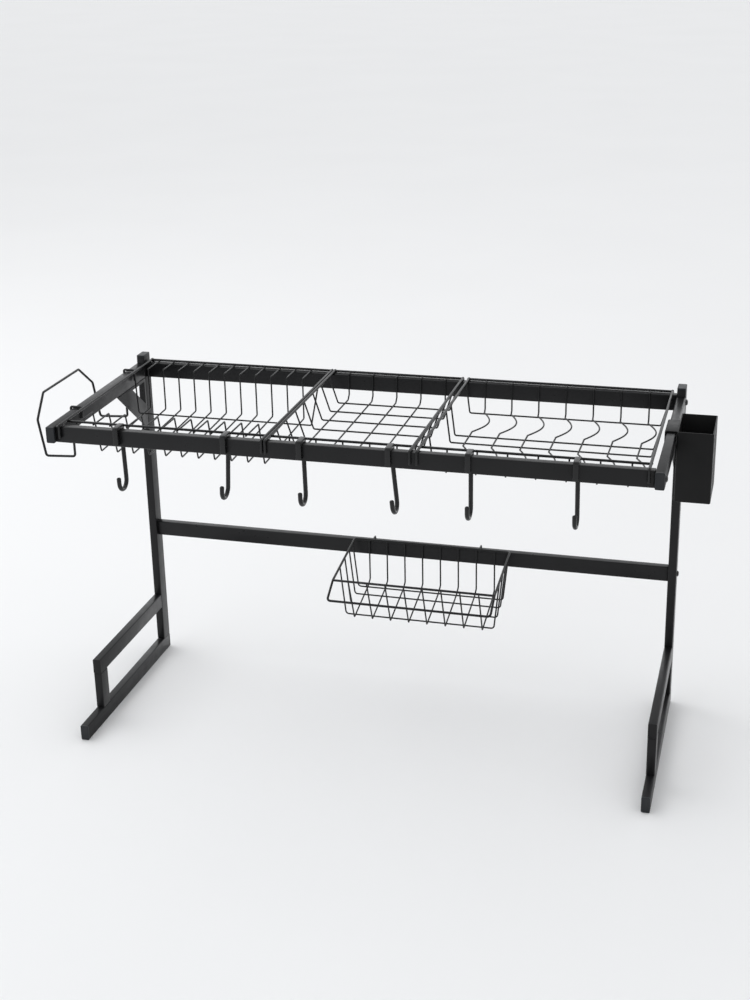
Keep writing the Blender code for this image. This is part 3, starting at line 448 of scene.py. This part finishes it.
def end_frame(side, x0):
    """The tubes, caps, brace and bolts of one end frame."""
    x1 = x0 + TUBE_W
    upright_top = UPPER_BAR_TOP - TUBE_H
    bar_rear = POST_FRONT - GAP
    for piece, low, high, axis, node_name in (
            ("foot", (FOOT_FRONT + CAP + GAP, 0), (DEPTH - CAP - GAP, TUBE_H), "Y", "foot_bar"),
            ("upright", (UPRIGHT_FRONT, TUBE_H + GAP), (UPRIGHT_FRONT + TUBE_H, upright_top - GAP), "Z",
             "front_upright"),
            ("upper", (UPRIGHT_FRONT, upright_top), (bar_rear, UPPER_BAR_TOP), "Y", "upper_bar"),
            ("post", (POST_FRONT, TUBE_H + GAP), (DEPTH, POST_TOP - CAP - GAP), "Z", "post"),
            ("arm", (CAP + GAP, RAIL_BOTTOM), (bar_rear, ARM_TOP), "Y", "arm")):
        tube_piece(f"{side}_{piece}_tube", (x0, *low), (x1, *high), axis, f"{side}_{node_name}")
    for piece, low, high, axis, outward, node_name in (
            ("foot_front", (FOOT_FRONT, 0), (FOOT_FRONT + CAP, TUBE_H), "Y", -1, "foot_front_cap"),
            ("foot_rear", (DEPTH - CAP, 0), (DEPTH, TUBE_H), "Y", 1, "foot_rear_cap"),
            ("arm", (0, RAIL_BOTTOM), (CAP, ARM_TOP), "Y", -1, "arm_cap"),
            ("post", (POST_FRONT, POST_TOP - CAP), (DEPTH, POST_TOP), "Z", 1, "post_cap")):
        cap_piece(f"{side}_{piece}_plug", (x0, *low), (x1, *high), axis, outward, f"{side}_{node_name}")
    gusset(side, x0, x1)
    half_w, half_h = TUBE_W / 2, TUBE_H / 2
    button_bolt(side, "front_rail_bolt", RAIL_FRONT + half_w, ARM_TOP - half_h)
    button_bolt(side, "rear_rail_bolt", REAR_RAIL_FRONT + half_w, ARM_TOP - half_h)
    button_bolt(side, "crossbar_bolt", REAR_RAIL_FRONT + half_w, CROSSBAR_TOP - half_h)


def gusset(side, x0, x1):
    """A triangular sheet with a triangular hole and softly broken edges."""
    inner0, inner1 = (x1 - GUSSET_SHEET, x1) if side == "left" else (x0, x0 + GUSSET_SHEET)
    corner_y, corner_z = POST_FRONT - GAP, RAIL_BOTTOM - GAP
    outer = [(corner_y, corner_z), (corner_y - GUSSET_RUN, corner_z), (corner_y, corner_z - GUSSET_DROP)]
    y, z = corner_y - GUSSET_MARGIN, corner_z - GUSSET_MARGIN
    hole = [(y, z), (y - GUSSET_RUN * GUSSET_HOLE, z), (y, z - GUSSET_DROP * GUSSET_HOLE)]
    bm = bmesh.new()
    rings = []
    for x in (inner0, inner1):
        for outline in (outer, hole):
            rings.append([bm.verts.new(at(x, py, pz)) for py, pz in outline])
    outer0, hole0, outer1, hole1 = rings
    for i in range(3):
        j = (i + 1) % 3
        bm.faces.new((outer0[i], outer0[j], hole0[j], hole0[i]))
        bm.faces.new((outer1[j], outer1[i], hole1[i], hole1[j]))
        bm.faces.new((outer0[j], outer0[i], outer1[i], outer1[j]))
        bm.faces.new((hole0[i], hole0[j], hole1[j], hole1[i]))
    bmesh.ops.recalc_face_normals(bm, faces=bm.faces)
    bevel(bm, sharp_edges(bm.edges), 0.25, 2)
    name = f"{side}_gusset_sheet"
    show(mesh_from(bm, name), name, TUBE_COAT, "frame", [f"{side}_gusset"])


def circle(bm, x, y, z, r, sides=24):
    """A ring of vertices across X."""
    turns = [2 * math.pi * k / sides for k in range(sides)]
    return [bm.verts.new(at(x, y + r * math.cos(a), z + r * math.sin(a))) for a in turns]


def hexagon(bm, x, y, z, r, sides=24):
    """A ring of vertices across X along a hexagon's outline."""
    ring = []
    for k in range(sides):
        a = 2 * math.pi * k / sides
        flat = math.cos(math.pi / 6) / math.cos((a + math.pi / 6) % (math.pi / 3) - math.pi / 6)
        ring.append(bm.verts.new(at(x, y + r * flat * math.cos(a), z + r * flat * math.sin(a))))
    return ring


def button_bolt(side, name, y, z):
    """A button-head bolt with a hexagon socket and a plain shank."""
    outward = -1 if side == "left" else 1
    face = -GAP if side == "left" else LENGTH + GAP
    bm = bmesh.new()
    rings = [circle(bm, face + outward * rise, y, z, r) for rise, r in BOLT_HEAD]
    for rise in (BOLT_HEAD[-1][0], SOCKET_FLOOR):
        rings.append(hexagon(bm, face + outward * rise, y, z, SOCKET_RADIUS))
    sides = len(rings[0])
    for a, b in zip(rings, rings[1:]):
        for k in range(sides):
            bm.faces.new((a[k], a[(k + 1) % sides], b[(k + 1) % sides], b[k]))
    bm.faces.new(rings[-1])
    shank = circle(bm, face - outward * SHANK_LENGTH, y, z, SHANK_RADIUS)
    neck = circle(bm, face, y, z, SHANK_RADIUS)
    for a, b in ((rings[0], neck), (neck, shank)):
        for k in range(sides):
            bm.faces.new((a[(k + 1) % sides], a[k], b[k], b[(k + 1) % sides]))
    bm.faces.new(shank[::-1])
    show(mesh_from(bm, f"{side}_{name}_head"), f"{side}_{name}_head", BOLT_OXIDE, "frame", [f"{side}_{name}"])


def rails():
    for name, y, top in (("front_rail", RAIL_FRONT, ARM_TOP), ("rear_rail", REAR_RAIL_FRONT, ARM_TOP),
                         ("crossbar", REAR_RAIL_FRONT, CROSSBAR_TOP)):
        low = (TUBE_W + GAP, y, top - TUBE_H)
        high = (RIGHT_FRAME - GAP, y + TUBE_W, top)
        tube_piece(f"{name}_tube", low, high, "X", name)


# ---------------------------------------------------------------- racks

def add_side_wire(bm, x):
    """A thick wire that rests on both rails and hooks down past them."""
    front, rear = RAIL_FRONT - SLIP - FRAME_WIRE / 2, REAR_RAIL_REAR + SLIP + FRAME_WIRE / 2
    low = SIDE_WIRE_Z - SIDE_WIRE_DROP
    path = [(x, front, low), (x, front, SIDE_WIRE_Z), (x, rear, SIDE_WIRE_Z), (x, rear, low)]
    add_wire(bm, rounded_path(path, 2.6, 6), FRAME_WIRE, 12)


def add_rims(bm, left, width):
    """A rack's two side wires and its front and rear rims."""
    for x in (left, left + width):
        add_side_wire(bm, x)
    for y, z in ((FRONT_RIM_Y, FRONT_RIM_Z), (REAR_RIM_Y, SIDE_WIRE_Z)):
        add_wire(bm, [(left - RIM_PAST, y, z), (left + width + RIM_PAST, y, z)], RIM_WIRE, 12)
        add_spot(bm, left, y, z + 0.6, 2.3)
        add_spot(bm, left + width, y, z + 0.6, 2.3)


def add_long(bm, left, width, y, floor_z, left_lean, right_lean):
    """A wire along the rack, under its cross wires and up to both side wires."""
    z = floor_z - THIN_WIRE + SINK
    path = [(left, y, LONG_TOP_Z), (left + left_lean, y, z), (left + width - right_lean, y, z),
            (left + width, y, LONG_TOP_Z)]
    add_wire(bm, rounded_path(path, 3.0), THIN_WIRE)
    for x in (left, left + width):
        add_spot(bm, x, y, SIDE_WIRE_Z - 1.9)


def rack_piece(bm, body, sides=True):
    nodes = [body] + ([f"{body}_left_wire", f"{body}_right_wire"] if sides else [])
    return show(mesh_from(bm, f"{body}_wires"), f"{body}_wires", WIRE_COAT, body, nodes)


def plate_rack():
    """Rack for standing plates: its cross wires fold up again behind the front rim."""
    bm = bmesh.new()
    add_rims(bm, PLATE_LEFT, PLATE_WIDTH)
    floor_z, foot_z = ARM_TOP - PLATE_FLOOR_DROP, ARM_TOP - PLATE_FOOT_DROP
    tuck_z = FRONT_RIM_Z - (RIM_WIRE + THIN_WIRE) / 2 + 0.4
    crossing_y = PLATE_BACK_Y - PLATE_CROSSING
    crossing_z = floor_z - PLATE_CROSSING * (floor_z - foot_z) / (PLATE_BACK_Y - PLATE_FOOT_Y)
    for i in range(PLATE_WIRES):
        x = PLATE_LEFT + PLATE_FIRST_WIRE + PLATE_PITCH * i
        path = [(x, REAR_RIM_Y + CROSS_PAST, CROSS_TOP_Z), (x, PLATE_BACK_Y, CROSS_TOP_Z),
                (x, PLATE_BACK_Y, floor_z), (x, PLATE_FOOT_Y, foot_z), (x, PLATE_PEAK_Y, tuck_z),
                (x, FRONT_RIM_Y - 1.0, tuck_z)]
        add_wire(bm, rounded_path(path, [2.4, 3.0, 3.5, 2.2]), THIN_WIRE)
        add_spot(bm, x, REAR_RIM_Y, CROSS_TOP_Z)
        add_spot(bm, x, FRONT_RIM_Y, tuck_z + 0.6)
        add_spot(bm, x, crossing_y, crossing_z - 1.0)
    add_long(bm, PLATE_LEFT, PLATE_WIDTH, crossing_y, crossing_z, PLATE_LEAN_LEFT, PLATE_LEAN_RIGHT)
    rack_piece(bm, "plate_rack")


def basket_path(x, floor_z, chamfer, floor_path, front_chamfer, front_shift=0.0):
    """A cross wire from the rear rim to the front rim, with its bends rounded."""
    back_y = REAR_RAIL_FRONT - SLIP - THIN_WIRE / 2
    front_x = x + front_shift
    points = [(x, REAR_RIM_Y + CROSS_PAST, CROSS_TOP_Z), (x, back_y, CROSS_TOP_Z),
              (x, back_y, floor_z + chamfer), (x, back_y - chamfer, floor_z)]
    points += floor_path
    points += [(x, FRONT_RIM_Y + front_chamfer, floor_z), (front_x, FRONT_RIM_Y, floor_z + front_chamfer),
               (front_x, FRONT_RIM_Y, FRONT_RIM_Z + 0.8)]
    radii = [1.8, 2.4, 2.4] + [0.0] * len(floor_path) + [3.0, 3.0]
    return rounded_path(points, radii)


def middle_rack():
    """Flat grid rack."""
    bm = bmesh.new()
    add_rims(bm, MIDDLE_LEFT, MIDDLE_WIDTH)
    floor_z = ARM_TOP - MIDDLE_FLOOR_DROP
    longs = [MIDDLE_LAST_LONG - MIDDLE_LONG_PITCH * i for i in range(MIDDLE_LONGS)]
    for i in range(MIDDLE_WIRES):
        x = MIDDLE_LEFT + MIDDLE_FIRST_WIRE + MIDDLE_PITCH * i
        add_wire(bm, basket_path(x, floor_z, MIDDLE_CHAMFER, [], MIDDLE_FRONT_CHAMFER), THIN_WIRE)
        add_spot(bm, x, REAR_RIM_Y, CROSS_TOP_Z)
        add_spot(bm, x, FRONT_RIM_Y, FRONT_RIM_Z)
        for y in longs:
            add_spot(bm, x, y, floor_z - 1.0)
    for y in longs:
        add_long(bm, MIDDLE_LEFT, MIDDLE_WIDTH, y, floor_z, MIDDLE_LEAN, MIDDLE_LEAN)
    rack_piece(bm, "middle_rack")


def swell(x, start_y, floor_z, steps=16):
    """One sideways swell of a bowl rack's floor wire."""
    return [(x + BOWL_SWELL * math.sin(math.pi * i / steps), start_y - BOWL_SWELL_LENGTH * i / steps, floor_z)
            for i in range(steps + 1)]


def bowl_rack():
    """Rack for bowls and cups: each floor wire swells sideways twice."""
    bm = bmesh.new()
    add_rims(bm, BOWL_LEFT, BOWL_WIDTH)
    floor_z = ARM_TOP - BOWL_FLOOR_DROP
    first = BOWL_FIRST_SWELL_Y
    second = first - BOWL_SWELL_LENGTH - BOWL_STRAIGHT
    longs = [first, first - BOWL_SWELL_LENGTH - BOWL_STRAIGHT / 4, second + BOWL_STRAIGHT / 4,
             second - BOWL_SWELL_LENGTH]
    for i in range(BOWL_WIRES):
        x = BOWL_LEFT + BOWL_FIRST_WIRE + BOWL_PITCH * i
        floor_path = swell(x, first, floor_z) + swell(x, second, floor_z)
        path = basket_path(x, floor_z, BOWL_CHAMFER, floor_path, BOWL_FRONT_CHAMFER, BOWL_FRONT_SHIFT)
        add_wire(bm, path, THIN_WIRE)
        add_spot(bm, x, REAR_RIM_Y, CROSS_TOP_Z)
        add_spot(bm, x + BOWL_FRONT_SHIFT, FRONT_RIM_Y, FRONT_RIM_Z)
        for y in longs:
            add_spot(bm, x, y, floor_z - 1.0)
    for y in longs:
        add_long(bm, BOWL_LEFT, BOWL_WIDTH, y, floor_z, BOWL_LEAN_LEFT, BOWL_LEAN_RIGHT)
    rack_piece(bm, "bowl_rack")


def hanging_basket():
    """Wire basket whose rear rim lies against the crossbar and whose two hooks go over it."""
    bm = bmesh.new()
    middle = LENGTH / 2 + BASKET_OFFSET
    left, right = middle - BASKET_WIDTH / 2, middle + BASKET_WIDTH / 2
    rear_y = REAR_RAIL_FRONT - SLIP - RIM_WIRE / 2
    rim_z = CROSSBAR_TOP + 2.0
    front_y, front_z = rear_y - BASKET_RIM_DEPTH, rim_z - BASKET_RIM_FALL
    lip_y, lip_z = front_y - BASKET_LIP_DEPTH, front_z - BASKET_LIP_FALL
    floor_z, foot_y = rim_z - BASKET_DROP, rear_y - BASKET_FLOOR_DEPTH
    foot_z = floor_z - BASKET_FLOOR_FALL
    loop = [(middle, rear_y, rim_z), (left, rear_y, rim_z), (left, front_y, front_z), (left, lip_y, lip_z),
            (right, lip_y, lip_z), (right, front_y, front_z), (right, rear_y, rim_z), (middle, rear_y, rim_z)]
    add_wire(bm, rounded_path(loop, [5.0, 9.0, 5.0, 5.0, 9.0, 5.0]), RIM_WIRE, 12, closed=True)
    add_wire(bm, [(left, front_y, front_z), (right, front_y, front_z)], RIM_WIRE, 12)
    starts = rear_y - BASKET_REAR_RUN
    longs = []
    for share in BASKET_LONG_SHARES:
        y = rear_y - share * BASKET_FLOOR_DEPTH
        slope = min(1.0, max(0.0, (starts - y) / (starts - foot_y)))
        longs.append((y, floor_z - slope * BASKET_FLOOR_FALL - THIN_WIRE + SINK))
    for i in range(BASKET_WIRES):
        x = left + BASKET_FIRST_WIRE + BASKET_PITCH * i
        path = [(x, rear_y, rim_z), (x, rear_y, floor_z + BASKET_REAR_RISE), (x, starts, floor_z),
                (x, foot_y, foot_z), (x, front_y, front_z)]
        add_wire(bm, rounded_path(path, [4.0, 4.0, 2.6]), THIN_WIRE)
        for y, z in [(rear_y, rim_z), (front_y, front_z)] + [(y, z + 0.9) for y, z in longs]:
            add_spot(bm, x, y, z, BASKET_SPOT)
    for y, z in longs:
        top = rim_z - BASKET_RIM_FALL * (rear_y - y) / BASKET_RIM_DEPTH
        path = [(left, y, top), (left + BASKET_LEAN, y, z), (right - BASKET_LEAN, y, z), (right, y, top)]
        add_wire(bm, rounded_path(path, 5.0), THIN_WIRE)
    over_z = CROSSBAR_TOP + SLIP + THIN_WIRE / 2 + 1.0
    behind_y = REAR_RAIL_REAR + SLIP + THIN_WIRE / 2
    for x in (middle + BASKET_HOOK_SHIFT - BASKET_HOOK_REACH, middle + BASKET_HOOK_SHIFT + BASKET_HOOK_REACH):
        path = [(x, rear_y, rim_z - RIM_WIRE), (x, rear_y, over_z), (x, behind_y, over_z),
                (x, behind_y, over_z - BASKET_HOOK_DROP)]
        add_wire(bm, rounded_path(path, 2.2), THIN_WIRE)
    rack_piece(bm, "hanging_basket", sides=False)


# ---------------------------------------------------------------- hooks, holder and box

def add_bent_strip(bm, near_outer, near_inner, far_outer, far_inner, edge_round, segments):
    """A bent strip between an outer and an inner line at its near and far edge, with its edges rounded."""
    out0, in0, out1, in1 = [[bm.verts.new(place) for place in line]
                            for line in (near_outer, near_inner, far_outer, far_inner)]
    new = []
    for i in range(len(out0) - 1):
        new.append(bm.faces.new((out0[i], out0[i + 1], out1[i + 1], out1[i])))
        new.append(bm.faces.new((in0[i + 1], in0[i], in1[i], in1[i + 1])))
        new.append(bm.faces.new((out0[i + 1], out0[i], in0[i], in0[i + 1])))
        new.append(bm.faces.new((out1[i], out1[i + 1], in1[i + 1], in1[i])))
    for i in (0, len(out0) - 1):
        new.append(bm.faces.new((out0[i], out1[i], in1[i], in0[i])))
    bmesh.ops.recalc_face_normals(bm, faces=new)
    own = {edge for face in new for edge in face.edges}
    bevel(bm, sharp_edges([edge for edge in bm.edges if edge in own]), edge_round, segments)


def add_saddle(bm, x, y0, y1, top):
    """A hook's flat bar bent over the rail: y0, y1 and top bound the rail's own space."""
    front_z, rear_z = RAIL_BOTTOM + HOOK_FRONT_RISE, RAIL_BOTTOM
    out0, out1, over = y0 - HOOK_BAR, y1 + HOOK_BAR, top + HOOK_BAR
    outer = [(0, out0, front_z), (0, out0, over), (0, out1, over), (0, out1, rear_z)]
    outer = rounded_path(outer, HOOK_CORNER, 8)
    inner = rounded_path([(0, y0, front_z), (0, y0, top), (0, y1, top), (0, y1, rear_z)], 0.3, 8)
    lines = [[at(edge_x, p.y, p.z) for p in points]
             for edge_x in (x - HOOK_BAR_WIDTH / 2, x + HOOK_BAR_WIDTH / 2) for points in (outer, inner)]
    add_bent_strip(bm, *lines, 0.7, 3)


def hook(number, x, lean):
    """A bar bent over the front rail and a rod from its rear leg that ends in a forward J."""
    y0, y1 = RAIL_FRONT - SLIP, FRONT_RAIL_REAR + SLIP
    bm = bmesh.new()
    add_saddle(bm, x, y0, y1, ARM_TOP + GAP)
    stem_y = y1 + HOOK_ROD / 2 + 0.2
    start, bottom = RAIL_BOTTOM + HOOK_OVERLAP, RAIL_BOTTOM - HOOK_LENGTH
    path = [(stem_y, start)]
    steps = 18
    for i in range(steps + 1):
        a = math.radians(-180 * i / steps)
        path.append((stem_y + HOOK_BEND * (math.cos(a) - 1.0), bottom + HOOK_BEND * (math.sin(a) + 1.0)))
    path.append((stem_y - 2 * HOOK_BEND, bottom + HOOK_TIP))
    slope = math.tan(math.radians(lean))
    add_wire(bm, [(x + slope * (start - z), y, z) for y, z in path], HOOK_ROD, 18)
    name = f"hook_{number}_rod"
    show(mesh_from(bm, name), name, HOOK_COAT, f"hook_{number}", [f"hook_{number}"])


def hooks():
    places = [left + width * share for left, width, shares in HOOK_PLACES for share in shares]
    for number, (x, lean) in enumerate(zip(places, HOOK_LEANS), 1):
        hook(number, x, lean)


def board_holder():
    """One bent wire: two hooks over the left arm, two legs and a raised frame that holds cutting boards."""
    bm = bmesh.new()
    over_z = ARM_TOP + GAP + BOARD_WIRE / 2
    inside_x, leg_x = TUBE_W + SLIP + BOARD_WIRE / 2, -SLIP - BOARD_WIRE / 2
    low_z, out_x = ARM_TOP - HOLDER_DROP, leg_x - HOLDER_LEDGE
    half = [(inside_x, over_z - HOLDER_INNER_DROP, 0), (inside_x, over_z, 0), (leg_x, over_z, 0),
            (leg_x, low_z, 0), (out_x, low_z - 2.5, 0), (out_x - 9.0, low_z + 52.0, 0),
            (out_x - 14.0, low_z + 83.0, 34.0)]
    front = [(px, HOLDER_FRONT + inset, pz) for px, pz, inset in half]
    rear = [(px, HOLDER_REAR - inset, pz) for px, pz, inset in reversed(half)]
    small = BOARD_WIRE * 0.68
    radii = [small, small, 4.0, 4.0, 5.0, 5.0]
    add_wire(bm, rounded_path(front + rear, radii + radii[::-1], 6), BOARD_WIRE, 12)
    show(mesh_from(bm, "board_holder_wire"), "board_holder_wire", WIRE_COAT, "board_holder", ["board_holder"])


def cut(obj, tool):
    """Takes the tool's shape out of obj."""
    modifier = obj.modifiers.new("cut", "BOOLEAN")
    modifier.operation = "DIFFERENCE"
    modifier.solver = "EXACT"
    modifier.object = tool
    mesh = bpy.data.meshes.new_from_object(obj.evaluated_get(bpy.context.evaluated_depsgraph_get()))
    obj.modifiers.clear()
    obj.data = mesh
    bpy.data.objects.remove(tool, do_unlink=True)


def loose(bm, name):
    obj = bpy.data.objects.new(name, mesh_from(bm, name))
    bpy.context.scene.collection.objects.link(obj)
    return obj


def soft_box(bm, low, high, upright, bottom):
    """A box with rounded upright edges and a smaller round along its bottom."""
    verts = add_box(bm, low, high)
    bevel(bm, edges_along(verts, 2), upright, 5, clamp=False)
    bevel(bm, edges_at(bm, 2, at(*low).z), bottom, 3)


def add_drill(bm, place, across=False):
    """A cylinder that cuts a hole through a wall, upright or, with across, along X."""
    matrix = Matrix.Translation(at(*place))
    if across:
        matrix = matrix @ Matrix.Rotation(math.pi / 2, 4, "Y")
    r = BOX_HOLE / 2 * MM
    bmesh.ops.create_cone(bm, cap_ends=True, segments=24, radius1=r, radius2=r, depth=4 * MM, matrix=matrix)


def box_shell():
    """The box's sheet: hollow, with holes in its outer side and drain holes in its floor."""
    x0, x1, y0, y1 = BOX_LEFT, BOX_RIGHT, BOX_FRONT, BOX_REAR
    z1 = ARM_TOP + BOX_RISE
    z0, wall = z1 - BOX_HEIGHT, BOX_WALL
    bm = bmesh.new()
    soft_box(bm, (x0, y0, z0), (x1, y1, z1), 2.2, 1.6)
    shell = loose(bm, "box_shell")
    bm = bmesh.new()
    soft_box(bm, (x0 + wall, y0 + wall, z0 + wall), (x1 - wall, y1 - wall, z1 + 4.0), 1.0, 0.8)
    cut(shell, loose(bm, "box_hollow"))
    bm = bmesh.new()
    for i in range(BOX_HOLE_COLUMNS):
        y = (y0 + y1) / 2 + BOX_HOLE_PITCH * (i - (BOX_HOLE_COLUMNS - 1) / 2)
        for j in range(BOX_HOLE_ROWS):
            z = (z0 + z1) / 2 + BOX_HOLE_PITCH * (j - (BOX_HOLE_ROWS - 1) / 2)
            add_drill(bm, (x1 - wall / 2, y, z), across=True)
        add_drill(bm, ((x0 + x1) / 2, y, z0 + wall / 2))
    cut(shell, loose(bm, "box_holes"))
    return shell


def utensil_box():
    """Thin sheet box with rounded corners, punched holes and a flange bent over the arm."""
    shell = box_shell()
    bm = bmesh.new()
    bm.from_mesh(shell.data)
    bevel(bm, sharp_edges(bm.edges), 0.22, 2)
    bpy.data.objects.remove(shell, do_unlink=True)
    add_flange(bm, BOX_LEFT + 0.6, BOX_FRONT + FLANGE_START, BOX_FRONT + FLANGE_END)
    show(mesh_from(bm, "utensil_box_sheet"), "utensil_box_sheet", SHEET_COAT, "utensil_box", ["utensil_box"])


def add_flange(bm, outer_x, y0, y1):
    """The sheet over the arm: out of the box's wall, flat over the arm and bent down its inner side."""
    bottom = ARM_TOP + GAP
    top, end_z = bottom + FLANGE_SHEET, bottom - FLANGE_DROP
    arm_x = RIGHT_FRAME - SLIP
    lip_x = arm_x - FLANGE_SHEET
    outer = rounded_path([(outer_x, 0, top), (lip_x, 0, top), (lip_x, 0, end_z)], 2.6, 6)
    inner = rounded_path([(outer_x, 0, bottom), (arm_x, 0, bottom), (arm_x, 0, end_z)], 0.4, 6)
    lines = [[at(p.x, y, p.z) for p in points] for y in (y0, y1) for points in (outer, inner)]
    add_bent_strip(bm, *lines, 0.3, 2)


for body_side, left_face in (("left", 0.0), ("right", RIGHT_FRAME)):
    end_frame(body_side, left_face)
rails()
plate_rack()
middle_rack()
bowl_rack()
hanging_basket()
hooks()
board_holder()
utensil_box()


# ---------------------------------------------------------------- studio

def floor():
    """A wide flat floor, just under the feet."""
    bm = bmesh.new()
    middle = Matrix.Translation((0, 8.0, -0.0002))
    bmesh.ops.create_grid(bm, x_segments=8, y_segments=8, size=20.0, matrix=middle)
    mesh = mesh_from(bm, "studio_floor")
    mesh.materials.append(plain_floor())
    obj = bpy.data.objects.new("studio_floor", mesh)
    bpy.context.scene.collection.objects.link(obj)


def area_light(name, place, target, size, power, colour=(1.0, 1.0, 1.0)):
    light = bpy.data.lights.new(name, "AREA")
    light.shape = "RECTANGLE"
    light.size, light.size_y = size
    light.energy = power
    light.color = colour
    obj = bpy.data.objects.new(name, light)
    obj.location = place
    obj.rotation_euler = (Vector(target) - Vector(place)).to_track_quat("-Z", "Y").to_euler()
    bpy.context.scene.collection.objects.link(obj)


def studio():
    """An even pale room, a little brighter behind and left of the object, with a soft key and a cool fill."""
    world = bpy.data.worlds.new("studio")
    world.use_nodes = True
    tree = world.node_tree
    background = tree.nodes["Background"]
    background.inputs["Color"].default_value = (0.975, 0.985, 1.0, 1.0)
    place = tree.nodes.new("ShaderNodeTexCoord")
    lean = tree.nodes.new("ShaderNodeVectorMath")
    lean.operation = "DOT_PRODUCT"
    lean.inputs[1].default_value = (-0.30, 0.95, 0.10)
    tree.links.new(place.outputs["Generated"], lean.inputs[0])
    level = tree.nodes.new("ShaderNodeMapRange")
    level.interpolation_type = "SMOOTHSTEP"
    level.inputs["From Min"].default_value = -0.9
    level.inputs["From Max"].default_value = 0.9
    level.inputs["To Min"].default_value = 0.66
    level.inputs["To Max"].default_value = 1.18
    tree.links.new(lean.outputs["Value"], level.inputs["Value"])
    tree.links.new(level.outputs["Result"], background.inputs["Strength"])
    bpy.context.scene.world = world
    area_light("key", (-2.4, 0.6, 2.8), (0.0, 0.1, 0.2), (2.4, 2.4), 24.0)
    area_light("cool_fill", (-2.0, -2.4, 1.4), (0.0, 0.0, 0.4), (1.6, 1.6), 6.0, (0.80, 0.90, 1.0))
    bpy.context.scene.view_settings.view_transform = "Standard"


def camera():
    """A viewpoint above and to the right of the middle, looking slightly left and down."""
    yaw, pitch, roll = math.radians(15.6457), math.radians(-20.0674), math.radians(-1.16874)
    forward = Vector((-math.sin(yaw) * math.cos(pitch), math.cos(yaw) * math.cos(pitch), math.sin(pitch)))
    right = Vector((math.cos(yaw), math.sin(yaw), 0.0))
    up = right.cross(forward)
    right, up = (right * math.cos(roll) + up * math.sin(roll), -right * math.sin(roll) + up * math.cos(roll))
    turn = Matrix((right, up, -forward)).transposed().to_4x4()
    lens = bpy.data.cameras.new("camera")
    lens.sensor_width = 36.0
    lens.lens = 55.39
    lens.shift_y = -0.0437
    lens.clip_start = 0.05
    lens.clip_end = 100.0
    obj = bpy.data.objects.new("camera", lens)
    obj.matrix_world = Matrix.Translation(at(985.3, -1823.9, 1190.6)) @ turn
    bpy.context.scene.collection.objects.link(obj)
    bpy.context.scene.camera = obj


floor()
studio()
camera()
